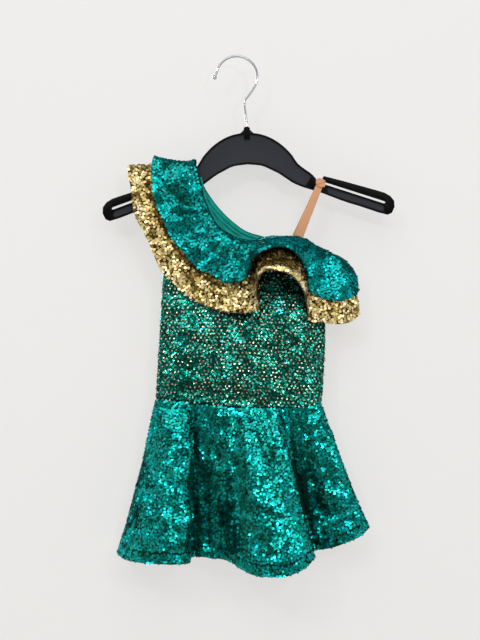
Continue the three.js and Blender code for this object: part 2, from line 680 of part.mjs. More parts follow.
// The strap's gathered loop: a bunched end in front and one behind, and the neck between them that
// lies on the notch's floor.
function strapLoop() {
  const end = LOOP_END.map(([x, z]) => new THREE.Vector2(x, z));
  const [left, right] = [-0.5, 0.5].map((half) => NOTCH_X + half * STRAP_IN_NOTCH);
  const neck = [[left, LOOP_LOW], [right, LOOP_LOW], [right, LOOP_HIGH], [left, LOOP_HIGH]]
    .map(([x, z]) => new THREE.Vector2(x, z));
  return toGeometry(prism(neck, -LOOP_NEAR - 1, LOOP_NEAR + 1)
    .add(prism(end, -LOOP_FRONT, -LOOP_NEAR))
    .add(prism(end, LOOP_NEAR, LOOP_BACK)));
}

function hangerBody() {
  const half = HANGER_THICK / 2;
  const top = curvePoints(BODY_TOP, 18);
  const under = curvePoints(BODY_UNDER, 16);
  const right = [
    ...top,
    ...NOTCH_AND_SLOT.map(([x, z]) => new THREE.Vector2(x, z)),
    ...curvePoints(PRONG_TOP, 14),
    ...curvePoints(ARM_UNDER, 8).slice(0, -1),
    ...under,
  ];
  const mirror = (points) => points.map(({ x, y }) => new THREE.Vector2(-x, y)).reverse();
  let body = prism([...right, ...mirror(right).slice(1, -1)], -half, half);
  const runTop = drawnIn(top, RIM).filter(({ x }) => x >= 0 && x < 80);
  const runUnder = drawnIn(under, RIM).filter(({ x }) => x >= 0 && x < 76);
  const pocketRight = [...runTop, ...runUnder];
  const armRight = ARM_POCKET.map(([x, z]) => new THREE.Vector2(x, z));
  const pockets = [[...pocketRight, ...mirror(pocketRight)], armRight, mirror(armRight)];
  for (const pocket of pockets) {
    body = body.subtract(prism(pocket, -half - 1, -WEB_THICK / 2));
    body = body.subtract(prism(pocket, WEB_THICK / 2, half + 1));
  }
  const radius = BOSS / 2;
  const boss = new THREE.LatheGeometry([[0, BOSS_TOP - BOSS_HEIGHT], [radius, BOSS_TOP - BOSS_HEIGHT],
    [radius, BOSS_TOP - BOSS_CHAMFER], [radius - BOSS_CHAMFER, BOSS_TOP], [0, BOSS_TOP]]
    .map(([x, z]) => new THREE.Vector2(x, z)), 20);
  boss.rotateX(Math.PI / 2);
  const braces = prism(BRACES.map(([x, z]) => new THREE.Vector2(x, z)),
    -BRACE_THICK / 2, BRACE_THICK / 2);
  const bore = new THREE.CylinderGeometry(BORE / 2, BORE / 2, BOSS_HEIGHT, 16);
  bore.rotateX(Math.PI / 2);
  bore.translate(0, 0, BORE_FLOOR + BOSS_HEIGHT / 2);
  return toGeometry(body.add(toSolid(boss)).add(braces).subtract(toSolid(bore)));
}

function hangerHook() {
  const points = HOOK_LIP.map(([x, z]) => new THREE.Vector3(x, 0, z));
  const arcSteps = 16;
  for (let k = 0; k <= arcSteps; k += 1) {
    const angle = THREE.MathUtils.degToRad(lerp(HOOK_ARC.from, HOOK_ARC.to, k / arcSteps));
    points.push(new THREE.Vector3(
      HOOK_RADIUS * Math.cos(angle), 0, HOOK_ARC.centreZ + HOOK_RADIUS * Math.sin(angle)));
  }
  points.push(...HOOK_STEM.map(([x, z]) => new THREE.Vector3(x, 0, z)));
  const section = new THREE.Shape();
  section.absarc(0, 0, WIRE / 2, 0, 2 * Math.PI);
  const wire = new THREE.ExtrudeGeometry(section, {
    steps: HOOK_STEPS,
    curveSegments: 5,
    extrudePath: new THREE.CatmullRomCurve3(points),
  });
  const ball = new THREE.SphereGeometry(HOOK_BALL / 2, 14, 10);
  ball.translate(HOOK_LIP[0][0], 0, HOOK_LIP[0][1]);
  return toGeometry(toSolid(wire).add(toSolid(ball)));
}

// ---- The whole costume ----
const sequinTeal = new THREE.MeshStandardMaterial({ color: 0x0a8f80, roughness: 0.35, metalness: 0.5 });
const sequinDots = new THREE.MeshStandardMaterial({ color: 0x2f8a70, roughness: 0.35, metalness: 0.5 });
const sequinGold = new THREE.MeshStandardMaterial({ color: 0xc8ae72, roughness: 0.35, metalness: 0.7 });
const satinTeal = new THREE.MeshStandardMaterial({ color: 0x0b8377, roughness: 0.5, metalness: 0 });
const elasticTan = new THREE.MeshStandardMaterial({ color: 0xcd966e, roughness: 0.8, metalness: 0 });
const blackPlastic = new THREE.MeshStandardMaterial({ color: 0x222226, roughness: 0.6, metalness: 0 });
const chromeWire = new THREE.MeshStandardMaterial({ color: 0xb9bcc0, roughness: 0.15, metalness: 1 });

const group = new THREE.Group();
function add(name, geometry, material, parent = group) {
  const mesh = new THREE.Mesh(geometry, material);
  mesh.name = name;
  parent.add(mesh);
}

const bodyWall = () => CLOTH;
const frillWall = () => FRILL;
const bindWall = () => BIND_WALL;

const waistOfBodice = { row: BODICE_STEPS.length - 1 };
const waistOfSkirt = { row: 0 };

add("bodice_front", wallOf(bodiceFrontGrid, -1, bodyWall, waistOfBodice), sequinDots);
add("bodice_back", wallOf(bodiceBackGrid, 1, bodyWall, waistOfBodice), sequinDots);
add("skirt_front", wallOf(skirtFrontGrid, -1, hemmed, waistOfSkirt), sequinTeal);
add("skirt_back", wallOf(skirtBackGrid, 1, hemmed, waistOfSkirt), sequinTeal);
add("lower_ruffle_front", wallOf(lowerFrontGrid, -1, frillWall), sequinGold);
add("lower_ruffle_back", wallOf(lowerBackGrid, 1, frillWall), sequinGold);
add("upper_ruffle_front", wallOf(upperFrontGrid, -1, frillWall), sequinTeal);
add("upper_ruffle_back", wallOf(upperBackGrid, 1, frillWall), sequinTeal);
add("neck_binding_back", wallOf(bandGrid(neckBack), 1, bindWall), satinTeal);
add("neck_binding_front", ribbonWall(capGrid(neckFront), 1, BIND_CAP), satinTeal);
add("strap_front", ribbonWall(strapGrid(STRAP_FRONT, 8), 1, STRAP_WALL), elasticTan);
add("strap_turn", strapLoop(), elasticTan);
add("strap_back", ribbonWall(strapGrid(STRAP_BACK, 8), 1, STRAP_WALL), elasticTan);

const hanger = new THREE.Group();
hanger.position.set(HANGER_PLACE.x, 0, HANGER_PLACE.z);
hanger.rotation.y = HANGER_PLACE.tilt;
add("hanger_body", hangerBody(), blackPlastic, hanger);
group.add(hanger);
add("hanger_hook", hangerHook(), chromeWire);

export default group;
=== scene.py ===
"""A child's one-shoulder sequin dance dress on a plastic hanger with a chrome hook.

Sizes in the tables are millimetres in the model's own frame: +Z up, the wearer's front towards -Y,
the origin inside the crown of the hook. Each cloth piece is a thin shell worked out from a table of
ribs, each rib running from a seam (its root) over a middle to a free edge. Its sequins are one
joined mesh laid out over that shell.
"""

import json
import math

import bmesh
import bpy
import numpy as np
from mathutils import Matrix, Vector
from mathutils.kdtree import KDTree

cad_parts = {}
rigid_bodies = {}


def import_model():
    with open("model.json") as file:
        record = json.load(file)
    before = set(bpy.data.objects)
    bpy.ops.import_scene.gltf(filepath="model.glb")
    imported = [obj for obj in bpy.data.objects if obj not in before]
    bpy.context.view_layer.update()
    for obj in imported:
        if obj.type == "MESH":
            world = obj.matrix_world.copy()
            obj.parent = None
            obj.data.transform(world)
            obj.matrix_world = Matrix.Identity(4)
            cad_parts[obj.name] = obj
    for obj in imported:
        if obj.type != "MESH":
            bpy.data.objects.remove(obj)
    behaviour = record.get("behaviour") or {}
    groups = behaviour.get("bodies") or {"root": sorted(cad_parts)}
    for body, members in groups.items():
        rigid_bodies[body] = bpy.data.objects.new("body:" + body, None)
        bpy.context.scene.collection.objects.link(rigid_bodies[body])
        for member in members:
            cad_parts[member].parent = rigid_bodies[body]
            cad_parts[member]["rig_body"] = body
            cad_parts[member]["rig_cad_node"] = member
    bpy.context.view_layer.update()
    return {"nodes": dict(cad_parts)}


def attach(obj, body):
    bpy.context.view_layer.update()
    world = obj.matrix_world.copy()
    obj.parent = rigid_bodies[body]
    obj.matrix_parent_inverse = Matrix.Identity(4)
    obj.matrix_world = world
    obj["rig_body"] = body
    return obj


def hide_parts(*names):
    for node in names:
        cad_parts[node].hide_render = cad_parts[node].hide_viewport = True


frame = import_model()

MM = 0.001
FRONT = -1
BACK = 1

# ---- Driving dimensions, mm ----
CLOTH = 0.7  # the ground cloth under the sequins
HEM_CLOTH = 1.7  # turned up and stitched
HEM_SHARE = 0.93  # where the turn-up starts, as a share of the skirt's length
HEM_STEP = 0.012  # the share of that length over which the cloth thickens
SEAM = 0.3  # the gap that is left where two panels meet
SEAM_HOLD = 6  # creases and ripples fade out over this, towards a side seam
LAYER = 2.6  # from the bodice to the lower ruffle's root, and from that to the upper one's
CLEARANCE = 2.3  # the least distance from a ruffle's middle to the layer under it
WAIST_LEFT = -100  # x of the two ends of the waist seam
WAIST_RIGHT = 105
WAIST_DEPTH = 13  # half the waist's depth, from front to back
ROUNDNESS = 2.6  # power of the waist's outline: 2 is an ellipse, and more is squarer
TURN = 6.6  # radius with which the shoulder turns down over the hanger's arm
SIDE_SWELL = 4  # how far the bodice's right side swells out half-way down
BIND_WIDTH = 12  # the band that shows inside the back neckline
BIND_CAP = 2.4  # the roll on the front neckline: its size past the edge,
BIND_REACH = 1.8  # its size through the cloth,
BIND_MIDDLE = 0.2  # and how far out of the cloth its middle lies
RIDGE_PITCH = 4.6  # ridges that the band's stitching leaves
RIDGE_HEIGHT = 1.5
STRAP_WALL = 1.1
STRAP_FOOT = 12.7  # half-inch elastic where it is sewn on,
STRAP_HEAD = 8.7  # drawn in at the top,
STRAP_IN_NOTCH = 4.2  # and gathered to this in the hanger's notch
STRAP_RIBS = 6  # half the width that its woven ribs are laid out on
NOTCH_X = 104.35
LOOP_MIDDLE = (104.9, -157.4)  # x and z of the strap's gathered loop, where it turns over the hanger
LOOP_HALF = (6.2, 5.6)  # half its width and height
LOOP_FRONT = 7.2  # how far its front and back ends reach
LOOP_BACK = 6.8
LOOP_NEAR = 3.4  # depth from the middle where its bunched ends begin
LOOP_NECK_Z = -154.9  # middle of the gathered neck that joins the loop's two ends
LOOP_NECK_HALF_HEIGHT = 2.3
LOOP_NECK_OVERLAP = 1.2  # how far the neck runs into each end
WIRE = 3  # the hook's wire, across
HOOK_RADIUS = 25.6  # of its middle line round the crown
HOOK_BALL = 5.6

# ---- Tables ----
# s along the neckline from shoulder to underarm, share of the waist that the rib below reaches,
# x, z, y, and the x and z parts of the outward direction.
NECK_FRONT = [
    (0, 0.235, -53, -133, 0, 0.65, 0.1),
    (0.02, 0.245, -52, -136.4, -6.1, 0.35, 0.15),
    (0.07, 0.262, -47, -149, -6.3, -0.1, 0.15),
    (0.16, 0.285, -42.5, -171, -6.5, 0, 0.1),
    (0.23, 0.31, -38, -184, -7, 0, 0.1),
    (0.31, 0.335, -32, -198, -8, 0, 0.1),
    (0.39, 0.38, -23, -212, -9, 0, 0.1),
    (0.46, 0.44, -11, -221, -10, 0, 0.1),
    (0.52, 0.5, 1, -227, -11, 0, 0.1),
    (0.575, 0.555, 13, -230, -11, 0, 0.1),
    (0.68, 0.65, 34, -230, -11, 0, 0.1),
    (0.77, 0.75, 54, -230, -11, 0, 0.1),
    (0.86, 0.85, 74, -230, -10, 0.1, 0.1),
    (0.905, 0.9, 84, -231, -8.5, 0.25, 0.2),
    (0.955, 0.96, 95, -237, -5.5, 0.6, 0.3),
    (1, 1, 107, -246, 0, 0.93, 0.37),
]
NECK_BACK = [
    (0, 0.235, -53, -133, 0, 0.65, 0.1),
    (0.02, 0.245, -51.8, -136.8, 5.9, 0.35, 0.15),
    (0.07, 0.258, -47, -147, 6.3, -0.1, 0.15),
    (0.14, 0.275, -42.5, -159, 6.5, 0, 0.1),
    (0.25, 0.31, -35, -172, 7, 0, 0.1),
    (0.37, 0.38, -23, -188, 8, 0, 0.1),
    (0.5, 0.46, -7, -204, 9, 0, 0.1),
    (0.62, 0.555, 13, -218, 9, 0, 0.1),
    (0.7, 0.64, 29, -223, 9, 0, 0.1),
    (0.8, 0.74, 50, -228, 9, 0, 0.1),
    (0.9, 0.88, 80, -230, 8, 0.25, 0.2),
    (0.955, 0.96, 96, -237, 5.5, 0.6, 0.3),
    (1, 1, 107, -246, 0, 0.93, 0.37),
]

# Armhole and shoulder seam, from the left underarm up: share of the waist, x, z, depth, and the
# radius with which the cloth turns down over the hanger's arm.
ARMHOLE = [
    (0, -90, -256, 0, 0),
    (0.02, -88, -248, 4, 0),
    (0.045, -84, -229, 7, 0),
    (0.08, -79, -198, 7, 0),
    (0.11, -74, -166, 6, 0),
    (0.13, -73, -149.5, 0, TURN),
    (0.185, -63, -141.2, 0, TURN),
]

# Waist seam: share of the way across, z.
WAIST = [
    (0, -426),
    (0.09, -428),
    (0.2, -430),
    (0.35, -433),
    (0.49, -436),
    (0.63, -436.5),
    (0.88, -436),
    (1, -432),
]

# Skirt ribs: share of the waist, hem x, hem z, hem y, how far the middle stands out and moves in x.
SKIRT_FRONT = [
    (0, -148, -618, 0, 0, 3),
    (0.02, -144, -620, -14, 2, 3),
    (0.05, -135, -622, -28, 4, 2),
    (0.09, -124, -622, -40, 6, 1),
    (0.13, -106, -622, -49, 8, 0),
    (0.165, -86, -622, -54, 9, 0),
    (0.188, -69, -622, -53, 10, 2),
    (0.2, -59, -623.5, -43, 8, 3),
    (0.208, -56, -624, -30, 2, 2),
    (0.218, -60, -623, -17, -3, -2),
    (0.24, -57, -623, -8, -5, -2),
    (0.29, -42, -623, -7, -5, 0),
    (0.34, -29, -624, -10, -3, 0),
    (0.39, -16, -624, -17, -1, 0),
    (0.43, -6, -625, -27, 1, 0),
    (0.48, 8, -631, -46, 5, 0),
    (0.54, 23, -634, -60, 8, 0),
    (0.61, 41, -634, -68, 10, 0),
    (0.66, 57, -634, -68, 10, 0),
    (0.695, 72, -630, -63, 9, 0),
    (0.72, 85, -624, -51, 7, 1),
    (0.735, 94, -618.5, -39, 4, 2),
    (0.744, 97, -617, -27, 0, 1),
    (0.754, 94, -616, -15, -4, -3),
    (0.776, 98, -615, -7, -6, -3),
    (0.81, 109, -613.5, -5.5, -5, -1),
    (0.85, 119, -611, -9, -2, 0),
    (0.91, 138, -603, -13, 0, 0),
    (0.965, 156, -595, -9, 0, -1),
    (1, 165, -588, 0, 0, -2),
]
SKIRT_BACK = [
    (0, -148, -618, 0, 0, 3),
    (0.03, -145, -618, 13, 1, 3),
    (0.09, -130, -622, 22, 2, 1),
    (0.18, -99, -622, 14, -1, 0),
    (0.28, -67, -622, 24, 2, 0),
    (0.38, -34, -617, 14, -1, 0),
    (0.48, 2, -622, 25, 2, 0),
    (0.58, 35, -618, 15, -1, 0),
    (0.68, 68, -617, 25, 2, 0),
    (0.78, 98, -610, 15, -1, 0),
    (0.87, 128, -605, 24, 2, 0),
    (0.94, 151, -596, 16, 0, 0),
    (0.98, 162, -591, 8, 0, -1),
    (1, 165, -588, 0, 0, -2),
]

# Ruffle ribs: s along the neckline, edge x, edge z, edge y, then how the middle is moved: wide (x),
# lift (z) and out (away from the body).
UPPER_FRONT = [
    (0, -103, -124, 0, 2, -2.5, 0),
    (0.025, -104.5, -130, -6, 1, -1.5, 2),
    (0.05, -105, -139, -9, 0, 2, 3),
    (0.1, -104, -150, -13, 0, 2, 5),
    (0.17, -102, -173, -17, 0, 1, 4),
    (0.23, -97, -190, -16, 0, 2, 2),
    (0.29, -88, -209, -21, 0, 3, 6),
    (0.35, -80, -227, -18, 0, 2, 2),
    (0.41, -64, -246, -22, 0, 3, 6),
    (0.455, -43, -267, -20, 0, 3, 3),
    (0.49, -30, -271, -23, 0, 3, 6),
    (0.53, -13, -283, -30, 0, 4, 5),
    (0.57, -1, -281, -36, 0, 4, 3),
    (0.61, 12, -278, -42, 0, 5, 3),
    (0.64, 17, -267, -47, 0, 8, 3),
    (0.665, 19, -256, -52, -1, 9, 2),
    (0.69, 27, -249, -57, -2, 8, 1),
    (0.73, 37, -243, -61, -2, 8, 0),
    (0.77, 52, -241, -62, 0, 8, 0),
    (0.815, 65, -244, -59, 1, 9, 0),
    (0.85, 74, -251, -50, 2, 12, 1),
    (0.875, 80, -258, -41, 3, 12, 3),
    (0.9, 83, -267, -33, 4, 12, 6),
    (0.92, 86, -280, -26, 5, 11, 8),
    (0.935, 92, -293, -21, 5, 9, 9),
    (0.95, 107, -301, -19, 4, 8, 9),
    (0.965, 122, -304, -16, 4, 8, 9),
    (0.98, 138, -302, -11, 6, 11, 8),
    (1, 152, -292, 0, 10, 7, 0),
]
LOWER_FRONT = [
    (0, -135, -136, 0, 0, 0, 0),
    (0.025, -135, -141, -5, 0, 0, 1),
    (0.05, -134, -148, -7.5, 0, 0, 2),
    (0.1, -132, -157, -9, 0, 0, 3),
    (0.17, -130, -168, -10, 0, 0, 3),
    (0.23, -128, -191, -11, 0, 0, 2),
    (0.29, -117, -216, -13, 0, 0, 3),
    (0.35, -109, -231, -12, 0, 0, 2),
    (0.39, -101, -250, -14, 0, 0, 3),
    (0.42, -93, -267, -13, 0, 0, 2),
    (0.44, -80, -281, -15, 0, 0, 2),
    (0.46, -70, -292, -13, 0, 0, 1),
    (0.475, -59, -300, -12, 0, 0, 1),
    (0.49, -44, -308, -16, 0, 0, 2),
    (0.52, -32, -313, -20, 0, 0, 2),
    (0.55, -17, -318, -24, 0, 0, 2),
    (0.58, -3, -319, -28, 0, 0, 1),
    (0.61, 13, -319, -33, 0, 0, 0),
    (0.635, 27, -315, -40, 0, 2, 0),
    (0.65, 24, -299, -47, 0, 5, 0),
    (0.67, 25, -284, -55, 0, 8, 0),
    (0.7, 28, -275, -63, 0, 7, 0),
    (0.74, 37, -269, -70, 0, 7, 0),
    (0.79, 51, -270, -72, 0, 7, 0),
    (0.83, 63, -274, -66, 0, 7, 0),
    (0.865, 73, -281, -56, 0, 7, 0),
    (0.89, 80, -291, -44, 0, 7, 0),
    (0.91, 85, -303, -32, 0, 5, 0),
    (0.925, 87, -316, -22, 0, 4, 2),
    (0.94, 89, -328, -17, 0, 4, 3),
    (0.955, 107, -331, -16, 1, 4, 3),
    (0.97, 127, -333, -14, 3, 6, 3),
    (0.985, 141, -330, -10, 6, 8, 3),
    (1, 153, -322, 0, 9, 9, 0),
]
UPPER_BACK = [
    (0, -103, -124, 0, 2, -2.5, 0),
    (0.025, -104.5, -130, 5, 1, -1.5, 2),
    (0.07, -105, -140, 9, 0, 2, 3),
    (0.15, -105, -159, 13, 0, 2, 4),
    (0.25, -99, -184, 15, 0, 2, 3),
    (0.35, -84, -217, 17, 0, 2, 4),
    (0.45, -59, -246, 21, 0, 2, 4),
    (0.55, -24, -268, 18, 0, 2, 3),
    (0.65, 4, -275, 23, 0, 2, 4),
    (0.75, 40, -281, 19, 0, 2, 3),
    (0.85, 80, -290, 22, 0, 3, 5),
    (0.93, 114, -298, 17, 3, 3, 6),
    (0.97, 138, -298, 10, 7, 6, 5),
    (1, 152, -292, 0, 10, 7, 0),
]
LOWER_BACK = [
    (0, -135, -136, 0, 0, 0, 0),
    (0.025, -135, -141, 5, 0, 0, 1),
    (0.07, -135, -149, 7.5, 0, 0, 2),
    (0.15, -132, -165, 9, 0, 0, 2),
    (0.25, -127, -187, 10, 0, 0, 2),
    (0.35, -114, -217, 12, 0, 0, 1),
    (0.45, -91, -255, 15, 0, 0, 0),
    (0.55, -53, -290, 13, 0, 0, 0),
    (0.65, -6, -307, 18, 0, 0, 0),
    (0.75, 40, -312, 14, 0, 0, 0),
    (0.85, 80, -321, 17, 0, 1, 0),
    (0.93, 118, -327, 13, 2, 4, 1),
    (0.97, 141, -326, 8, 5, 7, 1),
    (1, 153, -322, 0, 9, 9, 0),
]

# Creases: x and z of one end, x and z of the other, width, and height (a trough's is negative).
SKIRT_FRONT_CREASES = [
    (-112, -462, -74, -470, 9, 1.8),
    (-114, -500, -92, -560, 11, -1.8),
    (-116, -568, -70, -602, 7, 1.9),
    (-92, -440, -84, -500, 7, 1.6),
    (-68, -445, -64, -530, 6, 2.2),
    (-54, -434, -52, -620, 3.4, -5),
    (-36, -445, -28, -590, 8, 1.4),
    (-14, -440, -6, -560, 7, 1.2),
    (-4, -438, 5, -585, 6, -3.4),
    (14, -450, 30, -503, 7, 1.8),
    (30, -503, 52, -548, 9, 2.2),
    (52, -548, 80, -622, 12, 2.2),
    (42, -445, 52, -500, 5, -1.8),
    (58, -505, 79, -566, 4, 2),
    (68, -490, 98, -610, 3.6, -6.5),
    (83, -500, 98, -560, 8, -2),
    (109, -470, 130, -530, 8, 2),
    (118, -540, 146, -585, 8, 1.4),
]
SKIRT_BACK_CREASES = [
    (-110, -450, -128, -560, 8, 1.6),
    (-70, -442, -74, -530, 7, -1.5),
    (-30, -440, -28, -570, 8, 1.6),
    (14, -442, 26, -520, 6, -1.6),
    (52, -444, 70, -560, 8, 1.6),
    (86, -445, 110, -540, 6, -1.4),
]
BODICE_FRONT_CREASES = [
    (-62, -330, -44, -372, 8, 1.5),
    (-30, -338, -44, -410, 8, -1.3),
    (2, -332, 26, -352, 6, 1.6),
    (22, -345, 34, -400, 7, 1.6),
    (52, -335, 44, -420, 8, -1.5),
    (78, -336, 84, -400, 7, 1.5),
    (50, -258, 59, -318, 6, 2.4),
    (-84, -300, -70, -350, 6, 1.2),
]
BODICE_BACK_CREASES = [
    (-60, -340, -40, -420, 9, 1.4),
    (-6, -336, 4, -415, 9, -1.4),
    (50, -336, 40, -420, 8, 1.4),
    (82, -340, 76, -400, 7, -1.2),
]
UPPER_FRONT_CREASES = [
    (-86, -166, -50, -192, 7, -5),
    (-96, -150, -62, -158, 8, 1.2),
    (-53, -140, -48, -168, 4, 1.8),
    (-84, -205, -40, -200, 7, 2.4),
    (-72, -228, -34, -216, 6, -2),
    (-56, -252, -20, -226, 7, 2),
    (-46, -262, -12, -236, 6, -2.6),
    (-22, -276, -6, -250, 7, 2.2),
    (-2, -272, 8, -246, 5, -2),
    (92, -252, 96, -276, 5, 2.4),
    (99, -262, 112, -270, 6, -3.2),
    (116, -296, 136, -284, 7, 2.2),
    (120, -262, 140, -276, 6, 1.6),
]
UPPER_BACK_CREASES = [
    (-84, -168, -52, -184, 7, -1.8),
    (-60, -236, -24, -210, 7, 1.8),
    (0, -262, 12, -232, 7, -1.8),
    (52, -272, 54, -240, 7, 1.6),
    (96, -280, 90, -250, 7, -1.6),
]
LOWER_FRONT_CREASES = [
    (-126, -170, -112, -176, 5, -1.6),
    (-110, -218, -92, -212, 5, 1.4),
    (-96, -248, -78, -236, 5, -1.6),
    (-70, -276, -56, -262, 5, 1.6),
    (-57, -292, -52, -262, 5, -3.2),
    (-34, -306, -30, -274, 6, 1.6),
    (-10, -314, -6, -286, 5, -1.4),
    (8, -312, 10, -288, 5, 1.4),
    (98, -326, 100, -304, 4, -2.4),
    (112, -326, 116, -304, 6, 1.8),
    (134, -326, 138, -304, 4, -1.8),
]
LOWER_BACK_CREASES = [
    (-104, -226, -84, -214, 5, 1.6),
    (-60, -280, -50, -256, 6, -1.6),
    (10, -306, 14, -280, 6, 1.6),
    (80, -316, 82, -292, 6, -1.4),
]

# Nap: bands where the sequins are brushed so that they face KEY_WAY and shine (positive share), or
# face DARK_WAY and stay dark (negative), their foil also painted darker there as painted shade.
# x and z of both ends, width, share.
SKIRT_FRONT_NAP_AND_PAINTED_SHADE = [
    (98, -602, 118, -597, 5, 0.5),
    (118, -597, 142, -588, 4, 0.3),
    (-140, -611, -62, -617, 5, -0.3),
    (-74, -429, -73, -478, 9, 0.8),
    (-98, -432, -112, -489, 7, 0.35),
    (-91, -512, -91, -534, 6, 0.7),
    (-122, -548, -100, -544, 6, 0.7),
    (-88, -550, -75, -585, 7, 0.7),
    (-63, -558, -56, -574, 5, 0.8),
    (-133, -592, -124, -597, 6, 0.8),
    (-111, -571, -105, -614, 9, -0.3),
    (-94, -463, -104, -524, 8, -0.3),
    (-61, -470, -59, -495, 3, 0.7),
    (-45, -432, -18, -437, 6, 0.4),
    (-48, -484, -38, -499, 3, 0.8),
    (-27, -464, -28, -607, 18, -0.38),
    (-37, -609, -22, -616, 5, 0.8),
    (4, -443, 44, -442, 7, 0.7),
    (8, -457, 19, -476, 6, 0.8),
    (19, -474, 26, -501, 6, 0.85),
    (26, -500, 37, -527, 9, 0.85),
    (37, -526, 49, -555, 9, 0.85),
    (49, -554, 64, -577, 11, 0.85),
    (64, -577, 77, -606, 13, 0.85),
    (44, -458, 58, -495, 4, 0.7),
    (58, -493, 71, -538, 3.5, 0.8),
    (34, -460, 50, -509, 6, -0.6),
    (4, -475, 13, -609, 7, -0.8),
    (19, -545, 38, -599, 9, -0.5),
    (20, -611, 40, -611, 4, 0.8),
    (96, -432, 100, -457, 7, 0.7),
    (114, -469, 124, -509, 6, 0.8),
    (127, -521, 143, -556, 6, 0.5),
    (78, -458, 93, -524, 12, -0.5),
    (106, -529, 123, -561, 10, -0.4),
    (95, -591, 118, -579, 7, 0.6),
    (149, -569, 158, -584, 6, 0.7),
    (82, -533, 89, -589, 8, -0.6),
]
SKIRT_BACK_NAP = [
    (-96, -450, -104, -600, 14, 0.5),
    (2, -450, 6, -600, 12, 0.5),
    (88, -450, 112, -590, 12, 0.5),
]
UPPER_FRONT_NAP_AND_PAINTED_SHADE = [
    (-98, -136, -60, -142, 14, -0.4),
    (-84, -170, -50, -188, 8, -0.85),
    (-49, -140, -47, -164, 4, 0.9),
    (-97, -178, -86, -189, 6, 0.4),
    (-84, -188, -68, -216, 7, 0.5),
    (-48, -192, -35, -207, 6, 0.6),
    (-57, -212, -36, -233, 8, 0.5),
    (-31, -223, -8, -248, 9, -0.7),
    (-66, -230, -50, -249, 6, -0.4),
    (-19, -263, -3, -271, 8, 0.9),
    (9, -238, 15, -262, 4, 0.5),
    (15, -235, 25, -242, 5, 0.7),
    (25, -247, 41, -241, 3.5, 0.8),
    (57, -241, 67, -246, 4, 0.7),
    (74, -251, 82, -258, 3, 0.7),
    (40, -232, 80, -236, 9, 0.35),
    (83, -231, 99, -242, 4, 0.5),
    (90, -261, 91, -277, 3, 0.8),
    (102, -258, 106, -268, 5, -0.4),
    (89, -244, 97, -262, 6, 0.75),
    (114, -254, 128, -286, 13, 0.9),
    (94, -289, 127, -296, 8, 0.8),
]
# Painted light: bands where the foil is painted darker as painted shade, for shadows at overlaps, under
# lips and in folds, or paler as painted highlight, for lit lips and streaks. Ends and width as above,
# then the change of tint.
UPPER_FRONT_PAINTED_LIGHT = [
    (-84, -168, -50, -190, 8, -0.3),
    (-46, -226, -14, -250, 8, -0.2),
    (40, -232, 80, -236, 9, 0.35),
    (96, -252, 146, -284, 18, 0.2),
]
LOWER_FRONT_NAP = [
    (28, -274, 40, -269, 4, 0.9),
    (40, -269, 54, -269, 4, 0.9),
    (54, -269, 68, -275, 4, 0.9),
    (68, -275, 80, -291, 4, 0.9),
]
# Painted shade: a dark line beside the upper ruffle's edge, in folds and under the arch's lip; painted
# highlight along the arch's gold lip.
LOWER_FRONT_PAINTED_LIGHT = [
    (-108, -140, -106, -173, 3.6, -0.6),
    (-106, -173, -93, -210, 3.6, -0.75),
    (-93, -210, -68, -249, 3.6, -0.75),
    (-68, -249, -46, -271, 3.6, -0.75),
    (-46, -271, -14, -289, 3.6, -0.7),
    (-58, -265, -45, -304, 5, -0.5),
    (-127, -173, -112, -177, 5, -0.4),
    (-108, -213, -100, -227, 4, -0.35),
    (-97, -238, -91, -244, 4, -0.45),
    (-82, -256, -72, -264, 6, 0.2),
    (116, -304, 121, -326, 4, -0.3),
    (17, -272, 25, -256, 4, -0.5),
    (30, -264, 40, -254, 5, -0.4),
    (40, -254, 70, -258, 5, -0.5),
    (25, -304, 28, -278, 4, 0.5),
    (30, -274, 52, -270, 4, 0.45),
    (52, -270, 80, -288, 4, 0.45),
    (80, -288, 86, -312, 4, 0.5),
]
BODICE_FRONT_NAP_AND_PAINTED_SHADE = [
    (-37, -320, -35, -359, 6, 0.6),
    (33, -321, 39, -337, 7, 0.7),
    (31, -363, 20, -395, 6, 0.6),
    (-11, -368, -11, -396, 5, 0.5),
    (8, -388, 10, -405, 4, 0.5),
    (86, -413, 102, -423, 7, 0.9),
    (77, -328, 80, -339, 5, 0.5),
    (-85, -323, -88, -368, 6, 0.4),
    (62, -338, 56, -388, 12, -0.35),
    (-80, -408, 69, -415, 12, -0.38),
    (-60, -375, -30, -420, 13, -0.2),
    (62, -272, 55, -303, 3.5, 1.0),
    (55, -303, 53, -319, 4.5, 0.9),
    (46, -320, 36, -322, 4, 0.7),
]
# Painted highlight: a pale streak inside the arch's hollow.
BODICE_FRONT_PAINTED_LIGHT = [(62, -272, 55, -303, 3.5, 0.7), (55, -303, 53, -319, 4.5, 0.4)]
# Folds whose inside is shut: no sequins show there. Ends and half width.
SKIRT_FRONT_SHUT = [
    (70.5, -505, 83, -572, 3),
    (84, -516, 89, -556, 3.2),
    (83, -572, 95, -612, 1.9),
    (86, -566, 97, -607, 1.5),
    (-54, -462, -53.5, -535, 1.2),
    (-53.5, -535, -54, -618, 2),
]

# Strap middles: x, y, z, width.
STRAP_FRONT = [
    (70, -7.6, -241, STRAP_FOOT),
    (81.5, -6.2, -213, 11.4),
    (94, -4.6, -183, 9.8),
    (103.4, -3.6, -160.6, STRAP_HEAD),
]
STRAP_BACK = [
    (103.4, 3.6, -160.6, STRAP_HEAD),
    (91.5, 3.8, -188, 9.8),
    (79, 4, -216, 11.4),
    (67, 4.2, -243, STRAP_FOOT),
]

# Hook: the wire from its lip to its stem, x and z; the round crown lies between the two lists.
HOOK_ARC_DEGREES = (168, -35)
HOOK_LIP = [(-27.6, -25), (-26.4, -21.5)]
HOOK_STEM = [(14, -48.5), (10.3, -53.6), (9.7, -57), (11, -70), (12.4, -83), (12.7, -90), (12.84, -96)]


